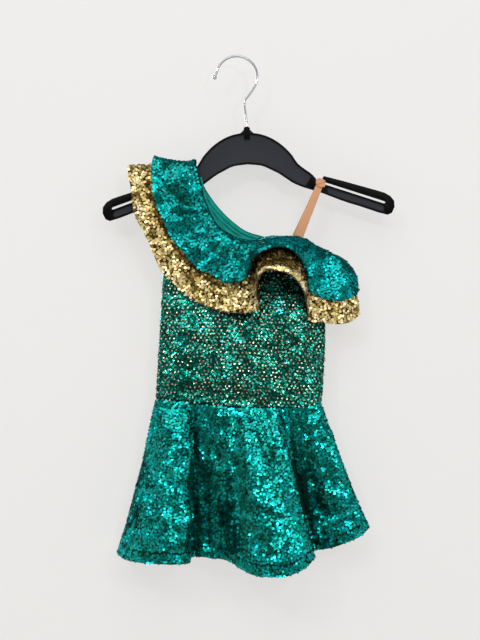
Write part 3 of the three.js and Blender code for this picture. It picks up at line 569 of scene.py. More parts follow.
# ---- Curves and grids ----
def ease(t):
    return t * t * (3 - 2 * t)


def fold_steps(count):
    """Even steps from 0 to 1 with one more close to each end, where the cloth turns round a fold."""
    even = np.arange(1, count) / count
    return np.concatenate([[0, 0.4 / count], even, [1 - 0.4 / count, 1]])


def smooth(knots, points, folded):
    """A smooth curve through points; folded ends go on as their own mirror image across y = 0."""
    knots = np.asarray(knots, float)
    points = np.asarray(points, float)
    spans = np.diff(knots)[:, None]
    chords = np.diff(points, axis=0) / spans
    slopes = np.empty_like(points)
    slopes[1:-1] = (chords[:-1] * spans[1:] + chords[1:] * spans[:-1]) / (spans[:-1] + spans[1:])
    slopes[0] = chords[0]
    slopes[-1] = chords[-1]
    if folded:
        slopes[[0, -1]] *= (0, 1, 0)

    def at(t):
        t = np.asarray(t, float)
        k = np.clip(np.searchsorted(knots, t) - 1, 0, len(spans) - 1)
        span = spans[k]
        s = np.clip((t - knots[k])[..., None] / span, 0, 1)
        return (
            points[k] * (2 * s**3 - 3 * s**2 + 1)
            + slopes[k] * (s**3 - 2 * s**2 + s) * span
            + points[k + 1] * (3 * s**2 - 2 * s**3)
            + slopes[k + 1] * (s**3 - s**2) * span
        )

    return at


def knots_of(roots, edges):
    """Knots spaced by how far apart neighbouring ribs are, scaled to end at 1."""
    apart = sum(np.linalg.norm(np.diff(ends, axis=0), axis=1) for ends in (roots, edges))
    knots = np.concatenate([[0], np.cumsum(apart)])
    return knots / knots[-1]


def unit(vectors):
    return vectors / np.maximum(np.linalg.norm(vectors, axis=-1, keepdims=True), 1e-9)


def slopes_of(grid):
    """Directions across the ribs and along them."""
    wide, deep = grid.shape[:2]
    rows = np.arange(wide)
    columns = np.arange(deep)
    across = grid[np.minimum(rows + 1, wide - 1)] - grid[np.maximum(rows - 1, 0)]
    along = grid[:, np.minimum(columns + 1, deep - 1)] - grid[:, np.maximum(columns - 1, 0)]
    return across, along


def normals_of(grid, facing):
    """Outward directions. They lie in the seam plane at y = 0, so that front and back meet there."""
    across, along = slopes_of(grid)
    normals = np.cross(across, along) * facing
    normals[np.abs(grid[..., 1]) <= SEAM, 1] = 0
    return unit(normals)


def ribbed(roots, middles, edges):
    """The surface through ribs that each bend from root over middle to edge."""
    knots = knots_of(roots, edges)
    curves = [smooth(knots, points, True) for points in (roots, middles, edges)]

    def at(us, vs):
        root, middle, edge = (curve(us)[:, None] for curve in curves)
        v = np.asarray(vs)[None, :, None]
        return root * (1 - v) * (1 - 2 * v) + middle * 4 * v * (1 - v) + edge * v * (2 * v - 1)

    return at


def beside(points, x0, z0, x1, z1, past):
    """Share of the way along a line in x and z, held to a little past its ends, and distance from it."""
    flat = points[..., [0, 2]]
    start = np.array((x0, z0), float)
    line = np.array((x1, z1), float) - start
    share = np.clip(((flat - start) @ line) / (line @ line), -past, 1 + past)
    return share, np.linalg.norm(flat - start - share[..., None] * line, axis=-1)


def banded(points, bands):
    """Soft bands along lines, each with its own value, fading out to its sides and at both ends."""
    total = np.zeros(points.shape[:-1])
    for x0, z0, x1, z1, width, value in bands:
        share, aside = beside(points, x0, z0, x1, z1, 0.2)
        fade = np.sqrt(np.clip(np.sin(math.pi * (share + 0.15) / 1.3), 0, 1))
        total += value * fade * np.exp(-((aside / width) ** 2))
    return total


def held_at_seam(grid):
    """0 at the side seams, rising to 1 where the cloth is SEAM_HOLD away from them in y."""
    return np.minimum(1, np.abs(grid[..., 1]) / SEAM_HOLD)


def creased(grid, facing, creases):
    """Soft troughs and ridges along lines on the cloth."""
    normals = normals_of(grid, facing)
    height = banded(grid, creases)
    return grid + normals * (height * held_at_seam(grid))[..., None]


def rippled(grid, facing, seed, height, lengths):
    """Small uneven waves all over, as sequin cloth has from being packed and worn."""
    rng = np.random.default_rng(seed)
    normals = normals_of(grid, facing)
    waves = np.zeros(grid.shape[:2])
    count = 16
    for _ in range(count):
        angle = rng.uniform(0, math.pi)
        length = rng.uniform(*lengths)
        phase = rng.uniform(0, 2 * math.pi)
        along = grid[..., 0] * math.cos(angle) + grid[..., 2] * math.sin(angle)
        waves += np.sin(2 * math.pi * along / length + phase)
    return grid + normals * (waves * height / math.sqrt(count) * held_at_seam(grid))[..., None]


def tree_of(points):
    tree = KDTree(len(points))
    for k, point in enumerate(points):
        tree.insert(point, k)
    tree.balance()
    return tree


def lay_over(grid, under, facing, clearance):
    """Moves a grid outwards wherever it comes closer than the clearance to the layer under it."""
    reach = 7
    normals = normals_of(under, facing).reshape(-1, 3)
    points = under.reshape(-1, 3)
    tree = tree_of(points)
    laid = grid.copy().reshape(-1, 3)
    for k, point in enumerate(laid):
        _, best, distance = tree.find(point)
        height = float((point - points[best]) @ normals[best])
        aside = math.sqrt(max(0.0, distance * distance - height * height))
        if height < clearance and aside <= reach:
            moved = point + normals[best] * (clearance - height)
            if abs(point[1]) <= SEAM:
                moved[1] = point[1]
            laid[k] = moved
    return laid.reshape(grid.shape)


def seamed(grid, side):
    grid[[0, -1], :, 1] = side * SEAM / 2
    return grid


# ---- The garment's surfaces ----
def waist_point(share, side):
    share = np.asarray(share, float)
    depth = WAIST_DEPTH * (1 - np.abs(2 * share - 1) ** ROUNDNESS) ** (1 / ROUNDNESS)
    height = smooth([s for s, _ in WAIST], [(0, 0, z) for _, z in WAIST], False)(share)[..., 2]
    return np.stack([WAIST_LEFT + (WAIST_RIGHT - WAIST_LEFT) * share, side * depth, height], -1)


class Neckline:
    """Where the neck edge runs, which way is out of the cloth there, and which way is past the edge."""

    def __init__(self, table):
        stations = [row[0] for row in table]
        self.side = math.copysign(1, table[3][4])
        self.place = smooth(stations, [(x, y, z) for _, _, x, z, y, _, _ in table], True)
        ways = []
        for *_, out_x, out_z in table:
            rest = math.sqrt(max(0.0, 1 - out_x * out_x - out_z * out_z))
            ways.append((out_x, self.side * rest, out_z))
        self.way_out = smooth(stations, ways, False)

    def outward(self, s):
        return unit(self.way_out(s))

    def edgeward(self, s):
        s = np.asarray(s, float)
        ahead = self.place(np.minimum(1, s + 0.01)) - self.place(np.maximum(0, s - 0.01))
        return unit(np.cross(ahead, self.way_out(s)) * self.side)


def bodice_grid(neck_table, side, us, vs):
    tops = [(share, x, z, side * depth, turn) for share, x, z, depth, turn in ARMHOLE]
    tops += [(share, x, z, y, TURN if s == 0 else 0) for s, share, x, z, y, _, _ in neck_table]
    top_points = np.array([(x, y, z) for _, x, z, y, _ in tops], float)
    knots = knots_of(top_points, waist_point([row[0] for row in tops], side))
    start = smooth(knots, top_points, True)(us)[:, None]
    plan = smooth(knots, [(share, 0, turn) for share, *_, turn in tops], False)(us)
    share = np.clip(plan[:, 0], 0, 1)
    turn = np.maximum(0, plan[:, 2])[:, None]
    end = (waist_point(share, side) + (0, 0, SEAM / 2))[:, None]
    v = np.asarray(vs)[None, :, None]
    grid = start * (1 - v) + end * v
    down = np.asarray(vs)[None, :]
    grid[..., 0] += SIDE_SWELL * 4 * down * (1 - down) * np.maximum(0, 2 * share[:, None] - 1) ** 2
    far = np.linalg.norm(grid - start, axis=-1)
    turned = np.where(turn > 0, np.clip(far / np.maximum(turn, 1e-6), 0, 1), 1)
    hung = start[..., 1] + side * turn * np.sqrt(1 - (1 - turned) ** 2)
    settled = ease(np.clip(down / 0.4, 0, 1))
    depth = hung + (end[..., 1] - hung) * settled
    grid[..., 1] = side * np.maximum(SEAM / 2, side * depth)
    return grid


def skirt_grid(table, side, us, vs):
    roots = waist_point([row[0] for row in table], side) - (0, 0, SEAM / 2)
    edges = np.array([(x, y, z) for _, x, z, y, _, _ in table], float)
    bulge = np.array([(along, side * out, 0) for *_, out, along in table], float)
    return seamed(ribbed(roots, (roots + edges) / 2 + bulge, edges)(us, vs), side)


def ruffle_grid(table, neck, layer, us, vs):
    stations = np.array([row[0] for row in table], float)
    roots = neck.place(stations) + neck.outward(stations) * layer * LAYER
    edges = np.array([(x, y, z) for _, x, z, y, *_ in table], float)
    bulge = np.array([(wide, neck.side * out, lift) for *_, wide, lift, out in table], float)
    middles = (roots + edges) / 2 + bulge
    for points in (roots, middles, edges):
        points[[0, -1], 1] = 0
    return seamed(ribbed(roots, middles, edges)(us, vs), neck.side)


# ---- Meshes ----
def mesh_object(name, vertices, faces, material, smooth_angle=None):
    """A mesh piece from arrays in millimetres; faces all have the same number of corners."""
    faces = np.ascontiguousarray(faces, dtype=np.int32)
    mesh = bpy.data.meshes.new(name)
    mesh.vertices.add(len(vertices))
    mesh.vertices.foreach_set("co", (np.asarray(vertices, np.float32) * MM).ravel())
    mesh.loops.add(faces.size)
    mesh.loops.foreach_set("vertex_index", faces.ravel())
    mesh.polygons.add(len(faces))
    mesh.polygons.foreach_set("loop_start", np.arange(0, faces.size, faces.shape[1], dtype=np.int32))
    mesh.update(calc_edges=True)
    mesh.shade_flat()
    mesh.materials.append(material)
    piece = bpy.data.objects.new(name, mesh)
    bpy.context.scene.collection.objects.link(piece)
    if smooth_angle:
        select_only(piece)
        bpy.ops.object.shade_smooth_by_angle(angle=math.radians(smooth_angle))
    return piece


def select_only(piece):
    bpy.ops.object.select_all(action="DESELECT")
    piece.select_set(True)
    bpy.context.view_layer.objects.active = piece


def shell(name, grid, facing, thickness, material):
    """A closed thin wall round a grid of middle points; thickness may change along a rib."""
    wide, deep = grid.shape[:2]
    half = normals_of(grid, facing) * (np.broadcast_to(thickness, (wide, deep)) / 2)[..., None]
    vertices = np.concatenate([(grid + half).reshape(-1, 3), (grid - half).reshape(-1, 3)])
    index = np.arange(wide * deep).reshape(wide, deep)
    outer = np.stack([index[:-1, :-1], index[1:, :-1], index[1:, 1:], index[:-1, 1:]], -1).reshape(-1, 4)
    inner = outer[:, ::-1] + wide * deep
    ring = np.concatenate([index[:-1, 0], index[-1, :-1], index[:0:-1, -1], index[0, :0:-1]])
    ahead = np.roll(ring, -1)
    rim = np.stack([ahead, ring, ring + wide * deep, ahead + wide * deep], -1)
    quads = np.concatenate([outer, inner, rim])
    if facing < 0:
        quads = quads[:, ::-1]
    return mesh_object(name, vertices, quads, material, smooth_angle=35)


def tube(name, path, across, up, half_width, half_height, sides, material):
    """A closed rod along a path; its half sizes may change along the way."""
    count = len(path)
    turns = np.arange(sides) * 2 * math.pi / sides
    wide = np.broadcast_to(half_width, count)[:, None, None] * np.cos(turns)[None, :, None]
    high = np.broadcast_to(half_height, count)[:, None, None] * np.sin(turns)[None, :, None]
    rings = path[:, None] + across[:, None] * wide + up[:, None] * high
    vertices = np.concatenate([rings.reshape(-1, 3), path[:1], path[-1:]])
    index = np.arange(count * sides).reshape(count, sides)
    here, there = index[:-1], index[1:]
    here_next, there_next = np.roll(here, -1, 1), np.roll(there, -1, 1)
    walls = np.concatenate([
        np.stack([here, here_next, there_next], -1).reshape(-1, 3),
        np.stack([here, there_next, there], -1).reshape(-1, 3),
    ])
    first, last = index[0], index[-1]
    start = np.stack([np.full(sides, count * sides), np.roll(first, -1), first], -1)
    end = np.stack([np.full(sides, count * sides + 1), last, np.roll(last, -1)], -1)
    faces = np.concatenate([walls, start, end])
    ahead = path[1] - path[0]
    if np.cross(across[0], up[0]) @ ahead < 0:
        faces = faces[:, ::-1]
    return mesh_object(name, vertices, faces, material, smooth_angle=60)


# ---- Sequins ----
def scattered(grid, facing, thickness, spacing, rng, keep):
    """Places on a shell that are at least the spacing apart, with their outward and rootward ways."""
    _, along = slopes_of(grid)
    normals = normals_of(grid, facing)
    corner = grid[:-1, :-1]
    area = np.linalg.norm(np.cross(grid[1:, :-1] - corner, grid[:-1, 1:] - corner), axis=-1)
    tries = int(7 * area.sum() / spacing**2)
    cells = rng.choice(area.size, tries, p=(area / area.sum()).ravel())
    i, j = np.unravel_index(cells, area.shape)
    a, b = rng.random((2, tries, 1))

    def blend(values):
        low = values[i, j] * (1 - b) + values[i, j + 1] * b
        high = values[i + 1, j] * (1 - b) + values[i + 1, j + 1] * b
        return low * (1 - a) + high * a

    places = blend(grid)
    share = (j[:, None] + b)[:, 0] / (grid.shape[1] - 1)
    wanted = keep(places, share)
    taken = {}
    chosen = []
    cell_of = np.floor(places / spacing).astype(int)
    around = [(x, y, z) for x in (-1, 0, 1) for y in (-1, 0, 1) for z in (-1, 0, 1)]
    for k in np.flatnonzero(wanted):
        cx, cy, cz = cell_of[k]
        px, py, pz = places[k]
        for x, y, z in around:
            for qx, qy, qz in taken.get((cx + x, cy + y, cz + z), ()):
                if (px - qx) ** 2 + (py - qy) ** 2 + (pz - qz) ** 2 < spacing * spacing:
                    break
            else:
                continue
            break
        else:
            taken.setdefault((cx, cy, cz), []).append((px, py, pz))
            chosen.append(k)
    outward = unit(blend(normals)[chosen])
    depth = np.broadcast_to(thickness, grid.shape[:2])[..., None]
    return places[chosen] + outward * blend(depth)[chosen] / 2, outward, unit(-blend(along)[chosen])


def uneven(places, seed, lengths):
    """A smooth random value for each place, about -1 to 1, alike for close neighbours."""
    rng = np.random.default_rng(seed)
    count = 12
    total = np.zeros(len(places))
    for _ in range(count):
        way = unit(rng.normal(size=3))
        total += np.sin(places @ way * 2 * math.pi / rng.uniform(*lengths) + rng.uniform(0, 2 * math.pi))
    return total / math.sqrt(count / 2)


LEAN = 7  # degrees that each sequin stands off the cloth, over the one below
MOST_TURN = 35  # degrees that one may be turned from the cloth
PATCH = (9, 30)  # shortest and longest wave of the patches of sequins that lie one way, mm
KEY_WAY = unit(np.array((-0.03, 0.93, 0.36)))  # faced so on the front, a sequin mirrors the key lamp
DARK_WAY = unit(np.array((-0.29, 0.95, -0.02)))  # and so, the gap between the key and the left lamp
SEQUIN_SIDES = 8
DISH = 0.03  # how deep a sequin is dished, as a share of its radius
FOIL = 0.12  # its thickness at the middle, mm


def sequins(name, spots, diameter, loose, drift, spread, seed, material, nap_and_painted_shade=(), shade=()):
    """Round sequins, each hanging from its top edge over the next like a scale."""
    places, outward, rootward = spots
    rng = np.random.default_rng(seed)
    count = len(places)
    sideways = np.cross(outward, rootward)
    patch = uneven(places, seed + 1, PATCH)[:, None]
    patch_side = uneven(places, seed + 2, PATCH)[:, None]
    brushed_and_painted_shade = np.clip(banded(places, nap_and_painted_shade), -1, 1)[:, None]
    wanted = np.where(brushed_and_painted_shade > 0, KEY_WAY, DARK_WAY) * (1, np.sign(outward[:, 1].mean()), 1)
    share = np.abs(brushed_and_painted_shade)
    toward = [np.degrees(np.arctan2((wanted * way).sum(1), (wanted * outward).sum(1)))[:, None]
              for way in (rootward, sideways)]
    tip = LEAN + (toward[0] - LEAN) * share + drift * patch * (1 - 0.4 * share)
    roll = toward[1] * share + drift * patch_side * (1 - 0.4 * share)
    tip, roll = (np.radians(np.clip(turn + rng.normal(0, loose, (count, 1)), -MOST_TURN, MOST_TURN))
                 for turn in (tip, roll))
    facing = unit(outward + rootward * np.tan(tip) + sideways * np.tan(roll))
    across = unit(np.cross(facing, rootward))
    up = np.cross(across, facing)
    radius = diameter / 2 * rng.uniform(0.93, 1.05, (count, 1))
    standing = 0.22 + radius * np.maximum(np.abs(np.sin(tip)), np.abs(np.sin(roll)))
    centres = places + outward * (standing + rng.uniform(0, 0.35, (count, 1)))
    sides = SEQUIN_SIDES
    turn = rng.uniform(0, 2 * math.pi, count)[:, None] + np.arange(sides) * 2 * math.pi / sides
    rim = centres[:, None] + radius[:, None] * (
        across[:, None] * np.cos(turn)[..., None] + up[:, None] * np.sin(turn)[..., None])
    dish = DISH * radius
    top = centres - facing * dish
    bottom = centres - facing * (dish + FOIL)
    vertices = np.concatenate([rim, top[:, None], bottom[:, None]], 1).reshape(-1, 3)
    k = np.arange(sides)
    fan = np.stack([np.full(sides, sides), k, (k + 1) % sides], -1)
    under = np.stack([np.full(sides, sides + 1), (k + 1) % sides, k], -1)
    one = np.concatenate([fan, under])
    faces = (one[None] + (sides + 2) * np.arange(count)[:, None, None]).reshape(-1, 3)
    piece = mesh_object(name, vertices, faces, material)
    # The tint is the foil's own random tone and patches, plus painted shade in the dark nap bands and
    # the painted shade and highlights of the shade bands.
    tint_and_painted_light = 0.5 + 0.1 * patch + 0.5 * np.minimum(brushed_and_painted_shade, 0) + banded(places, shade)[:, None]
    tint_and_painted_light += rng.normal(0, spread, (count, 1))
    attribute = piece.data.attributes.new("tint_and_painted_light", "FLOAT", "POINT")
    attribute.data.foreach_set("value", np.repeat(np.clip(tint_and_painted_light, 0, 1), sides + 2).astype(np.float32))
    return piece


def far_from(grid, distance):
    """A test that keeps the places at least that far from a surface."""
    tree = tree_of(grid.reshape(-1, 3))
    return lambda places: np.array([tree.find(place)[2] >= distance for place in places])


# ---- Materials ----
def material(name, roughness, metallic=0.0, **sockets):
    made = bpy.data.materials.new(name)
    made.use_nodes = True
    shader = made.node_tree.nodes["Principled BSDF"]
    shader.inputs["Roughness"].default_value = roughness
    shader.inputs["Metallic"].default_value = metallic
    for socket, value in sockets.items():
        shader.inputs[socket.replace("_", " ")].default_value = value
    return made, made.node_tree, shader


def node(tree, kind, **values):
    made = tree.nodes.new(kind)
    for name, value in values.items():
        if name in made.inputs:
            made.inputs[name].default_value = value
        else:
            setattr(made, name, value)
    return made


def ramp(tree, source, stops):
    made = tree.nodes.new("ShaderNodeValToRGB")
    elements = made.color_ramp.elements
    elements[0].position, elements[0].color = stops[0][0], (*stops[0][1], 1)
    elements[1].position, elements[1].color = stops[-1][0], (*stops[-1][1], 1)
    for position, colour in stops[1:-1]:
        elements.new(position).color = (*colour, 1)
    tree.links.new(source, made.inputs["Fac"])
    return made.outputs["Color"]


def object_noise(tree, scale, detail=2.0):
    coordinates = node(tree, "ShaderNodeTexCoord")
    noise = node(tree, "ShaderNodeTexNoise", Scale=scale, Detail=detail)
    tree.links.new(coordinates.outputs["Object"], noise.inputs["Vector"])
    return noise.outputs["Fac"]


def bump(tree, shader, height, strength, distance):
    made = node(tree, "ShaderNodeBump", Strength=strength, Distance=distance)
    tree.links.new(height, made.inputs["Height"])
    tree.links.new(made.outputs["Normal"], shader.inputs["Normal"])


def sequin_material(name, stops, edge, roughness, metallic, coat):
    """Foil on clear plastic: a tinted metal under a thin clear coat, each sequin its own tint, which
    also carries painted shade and painted highlights.
    """
    made, tree, shader = material(name, roughness, metallic, Coat_Weight=coat, Coat_Roughness=0.05,
                                  Specular_Tint=(*edge, 1))
    tint_and_painted_light = node(tree, "ShaderNodeAttribute", attribute_name="tint_and_painted_light")
    tree.links.new(ramp(tree, tint_and_painted_light.outputs["Fac"], stops), shader.inputs["Base Color"])
    bump(tree, shader, object_noise(tree, 900), 0.12, 0.0004)
    return made


def ground_material(name, dark, light):
    """Knitted mesh ground: dark, matt, with a fine net of yarns."""
    made, tree, shader = material(name, 0.95, Specular_IOR_Level=0.1)
    grain = object_noise(tree, 1400, 3.0)
    tree.links.new(ramp(tree, grain, [(0.35, dark), (0.65, light)]), shader.inputs["Base Color"])
    bump(tree, shader, grain, 0.5, 0.0006)
    return made


def satin_material():
    """Stretch satin: fine cross ribs and a soft sheen."""
    made, tree, shader = material("teal_satin", 0.5, Specular_IOR_Level=0.15)
    coordinates = node(tree, "ShaderNodeTexCoord")
    ribs = node(tree, "ShaderNodeTexWave", Scale=900.0, Distortion=1.5, Detail=1.0)
    tree.links.new(coordinates.outputs["Object"], ribs.inputs["Vector"])
    shade = object_noise(tree, 60)
    colours = [(0.3, (0.0, 0.20, 0.16)), (0.7, (0.0, 0.30, 0.25))]
    tree.links.new(ramp(tree, shade, colours), shader.inputs["Base Color"])
    bump(tree, shader, ribs.outputs["Fac"], 0.15, 0.0002)
    return made


def elastic_material():
    """Woven elastic: ribs along its length from the piece's own width attribute, and cross yarns."""
    made, tree, shader = material("tan_elastic", 0.75, Sheen_Weight=0.25, Sheen_Roughness=0.5)
    width = node(tree, "ShaderNodeAttribute", attribute_name="across")
    length = node(tree, "ShaderNodeAttribute", attribute_name="along")
    waves = []
    for source, pitch in ((width, 0.9), (length, 0.7)):
        turns = node(tree, "ShaderNodeMath", operation="MULTIPLY")
        turns.inputs[1].default_value = 2 * math.pi / pitch
        sine = node(tree, "ShaderNodeMath", operation="SINE")
        tree.links.new(source.outputs["Fac"], turns.inputs[0])
        tree.links.new(turns.outputs[0], sine.inputs[0])
        waves.append(sine.outputs[0])
    weave = node(tree, "ShaderNodeMath", operation="MULTIPLY_ADD")
    weave.inputs[1].default_value = 0.5
    tree.links.new(waves[1], weave.inputs[0])
    tree.links.new(waves[0], weave.inputs[2])
    height = node(tree, "ShaderNodeMapRange")
    height.inputs["From Min"].default_value = -1.5
    height.inputs["From Max"].default_value = 1.5
    tree.links.new(weave.outputs[0], height.inputs["Value"])
    # Colour follows the weave's height: darker in its hollows as painted shade between the ribs and
    # yarns.
    colours = [(0.0, (0.40, 0.18, 0.085)), (0.6, (0.60, 0.30, 0.15)), (1.0, (0.68, 0.36, 0.19))]
    tree.links.new(ramp(tree, height.outputs["Result"], colours), shader.inputs["Base Color"])
    bump(tree, shader, height.outputs["Result"], 0.4, 0.0003)
    return made


def plastic_material():
    """Matt moulded plastic: fine spark-eroded grain on the faces, smoother raised rims. The rims'
    near-black is partly their own black and partly painted shade, for the dark outline at the hanger's
    edges.
    """
    made, tree, shader = material("black_plastic", 0.55, Specular_IOR_Level=0.06)
    coordinates = node(tree, "ShaderNodeTexCoord")
    parts = node(tree, "ShaderNodeSeparateXYZ")
    depth = node(tree, "ShaderNodeMath", operation="ABSOLUTE")
    tree.links.new(coordinates.outputs["Object"], parts.inputs["Vector"])
    tree.links.new(parts.outputs["Y"], depth.inputs[0])
    rim = node(tree, "ShaderNodeMapRange")
    rim.inputs["From Min"].default_value = 0.0012
    rim.inputs["From Max"].default_value = 0.0022
    tree.links.new(depth.outputs[0], rim.inputs["Value"])
    # Rims painted nearly black: partly their own black, partly painted shade for the dark outline at the
    # edges.
    colours = [(0.0, (0.0288, 0.0298, 0.0355)), (1.0, (0.0012, 0.0012, 0.0015))]
    tree.links.new(ramp(tree, rim.outputs["Result"], colours), shader.inputs["Base Color"])
    gloss = node(tree, "ShaderNodeMapRange")
    gloss.inputs["To Min"].default_value = 0.55
    gloss.inputs["To Max"].default_value = 0.42
    tree.links.new(rim.outputs["Result"], gloss.inputs["Value"])
    tree.links.new(gloss.outputs["Result"], shader.inputs["Roughness"])
    bump(tree, shader, object_noise(tree, 1800, 3.0), 0.12, 0.0003)
    return made


def chrome_material():
    """Plated wire: polished, with faint cloudy patches."""
    made, tree, shader = material("chrome", 0.09, 0.85)
    shade = object_noise(tree, 120)
    colours = [(0.3, (0.42, 0.43, 0.45)), (0.7, (0.56, 0.57, 0.59))]
    tree.links.new(ramp(tree, shade, colours), shader.inputs["Base Color"])
    return made


def wall_material():
    """A white studio wall that glows with painted light, brighter towards the top, so that shadows on it
    stay faint. It shows from its front only, so that the back can be looked at.
    """
    made, tree, shader = material("pale_wall", 0.9, Base_Color=(0.22, 0.217, 0.213, 1))
    shader.inputs["Specular IOR Level"].default_value = 0.0
    coordinates = node(tree, "ShaderNodeTexCoord")
    parts = node(tree, "ShaderNodeSeparateXYZ")
    height = node(tree, "ShaderNodeMapRange")
    height.inputs["From Min"].default_value = -0.75
    height.inputs["From Max"].default_value = 0.1
    tree.links.new(coordinates.outputs["Object"], parts.inputs["Vector"])
    tree.links.new(parts.outputs["Z"], height.inputs["Value"])
    # Painted light: the wall's glow, brighter towards the top.
    glow = [(0.0, (0.545, 0.537, 0.522)), (1.0, (0.608, 0.603, 0.592))]
    tree.links.new(ramp(tree, height.outputs["Result"], glow), shader.inputs["Emission Color"])
    shader.inputs["Emission Strength"].default_value = 1.0
    geometry = node(tree, "ShaderNodeNewGeometry")
    clear = node(tree, "ShaderNodeBsdfTransparent")
    mix = node(tree, "ShaderNodeMixShader")
    tree.links.new(geometry.outputs["Backfacing"], mix.inputs["Fac"])
    tree.links.new(shader.outputs["BSDF"], mix.inputs[1])
    tree.links.new(clear.outputs["BSDF"], mix.inputs[2])
    tree.links.new(mix.outputs["Shader"], tree.nodes["Material Output"].inputs["Surface"])
    return made


TEAL_STOPS = [
    (0.0, (0.0, 0.080, 0.052)),
    (0.45, (0.0, 0.230, 0.182)),
    (0.8, (0.0, 0.37, 0.375)),
    (1.0, (0.04, 0.59, 0.65)),
]
RUFFLE_STOPS = [
    (0.0, (0.0, 0.085, 0.065)),
    (0.45, (0.0, 0.205, 0.19)),
    (0.8, (0.0, 0.31, 0.31)),
    (1.0, (0.0, 0.48, 0.50)),
]
GOLD_STOPS = [
    (0.0, (0.075, 0.045, 0.008)),
    (0.25, (0.35, 0.245, 0.062)),
    (0.6, (0.70, 0.55, 0.24)),
    (1.0, (0.94, 0.82, 0.53)),
]
BODICE_STOPS = [
    (0.0, (0.0, 0.048, 0.028)),
    (0.5, (0.0, 0.155, 0.105)),
    (0.85, (0.0, 0.30, 0.235)),
    (1.0, (0.03, 0.56, 0.52)),
]
DOT_STOPS = [(0.0, (0.20, 0.175, 0.09)), (0.5, (0.46, 0.44, 0.27)), (1.0, (0.82, 0.82, 0.66))]
TEAL_EDGE = (0.05, 0.7, 0.68)
GOLD_EDGE = (0.9, 0.75, 0.45)

teal_sequin = sequin_material("teal_sequin", TEAL_STOPS, TEAL_EDGE, 0.28, 0.96, 0.15)
ruffle_sequin = sequin_material("ruffle_sequin", RUFFLE_STOPS, TEAL_EDGE, 0.36, 0.96, 0.12)
gold_sequin = sequin_material("gold_sequin", GOLD_STOPS, GOLD_EDGE, 0.40, 0.80, 0.05)
bodice_sequin = sequin_material("bodice_sequin", BODICE_STOPS, TEAL_EDGE, 0.24, 0.96, 0.2)
dot_sequin = sequin_material("dot_sequin", DOT_STOPS, GOLD_EDGE, 0.36, 0.8, 0.15)
teal_ground = ground_material("teal_ground", (0.0, 0.008, 0.006), (0.0, 0.035, 0.028))
gold_ground = ground_material("gold_ground", (0.008, 0.005, 0.002), (0.04, 0.022, 0.007))
edge_thread = ground_material("edge_thread", (0.0, 0.010, 0.008), (0.0, 0.05, 0.04))
gold_thread = ground_material("gold_thread", (0.03, 0.018, 0.006), (0.30, 0.20, 0.09))
satin = satin_material()
elastic = elastic_material()
black_plastic = plastic_material()
chrome = chrome_material()


# ---- Cloth pieces ----
def dressed(node_name, grid, facing, thickness, ground, extras):
    piece = shell(node_name + "_cloth", grid, facing, thickness, ground)
    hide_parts(node_name)
    for made in [piece, *extras]:
        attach(made, "root")
    return piece


THREAD = 0.45  # half thickness of a ruffle's stitched edge, mm
THREAD_SWELL = 0.13  # how much thicker and thinner it gets along each stitch
STITCH_PITCH = 2.2
THREAD_STEP = 0.55


def overlocked(name, grid, facing, thread):
    """The stitched edge of a ruffle: a thin cord of thread, thicker at each stitch."""
    edge = grid[:, -1]
    length = np.concatenate([[0], np.cumsum(np.linalg.norm(np.diff(edge, axis=0), axis=1))])
    even = np.arange(0, length[-1], THREAD_STEP)
    path = np.stack([np.interp(even, length, edge[:, k]) for k in range(3)], -1)
    out = np.stack([np.interp(even, length, normals_of(grid, facing)[:, -1, k]) for k in range(3)], -1)
    ahead = unit(np.gradient(path, axis=0))
    across = unit(np.cross(ahead, unit(out)))
    up = np.cross(ahead, across)
    swell = THREAD + THREAD_SWELL * np.sin(2 * math.pi * even / STITCH_PITCH)
    return tube(name, path, across, up, swell, swell * 0.9, 6, thread)


waist_down = np.linspace(0, 1, 60)
skirt_down = np.concatenate(
    [np.linspace(0, HEM_SHARE - HEM_STEP, 40), [HEM_SHARE], np.linspace(0.945, 1, 5)])
ruffle_down = np.linspace(0, 1, 22)

neck_front = Neckline(NECK_FRONT)
neck_back = Neckline(NECK_BACK)

bodice_front = bodice_grid(NECK_FRONT, FRONT, fold_steps(120), waist_down)
bodice_front = creased(bodice_front, FRONT, BODICE_FRONT_CREASES)
bodice_back = bodice_grid(NECK_BACK, BACK, fold_steps(110), waist_down)
bodice_back = creased(bodice_back, BACK, BODICE_BACK_CREASES)

skirt_front = skirt_grid(SKIRT_FRONT, FRONT, fold_steps(300), skirt_down)
skirt_front = creased(skirt_front, FRONT, SKIRT_FRONT_CREASES)
skirt_front = rippled(skirt_front, FRONT, seed=11, height=0.7, lengths=(14, 40))
skirt_back = skirt_grid(SKIRT_BACK, BACK, fold_steps(120), skirt_down)
skirt_back = creased(skirt_back, BACK, SKIRT_BACK_CREASES)
skirt_back = rippled(skirt_back, BACK, seed=12, height=0.6, lengths=(14, 40))


def ruffle(table, neck, layer, count, creases, seed, under):
    grid = ruffle_grid(table, neck, layer, fold_steps(count), ruffle_down)
    side = int(neck.side)
    grid = rippled(creased(grid, side, creases), side, seed, height=0.4, lengths=(12, 34))
    return lay_over(grid, under, side, CLEARANCE)


lower_front = ruffle(LOWER_FRONT, neck_front, 1, 230, LOWER_FRONT_CREASES, 21, bodice_front)
upper_front = ruffle(UPPER_FRONT, neck_front, 2, 230, UPPER_FRONT_CREASES, 22, lower_front)
lower_back = ruffle(LOWER_BACK, neck_back, 1, 150, LOWER_BACK_CREASES, 23, bodice_back)
upper_back = ruffle(UPPER_BACK, neck_back, 2, 150, UPPER_BACK_CREASES, 24, lower_back)


STITCH_ROW = int(np.argmax(skirt_down >= HEM_SHARE))
STITCH_SHARE = STITCH_ROW / (len(skirt_down) - 1)  # that row's share of the rows down the skirt
STITCH_GAP = 0.012  # how far each side of the stitched line the sequins stay off it, as a share


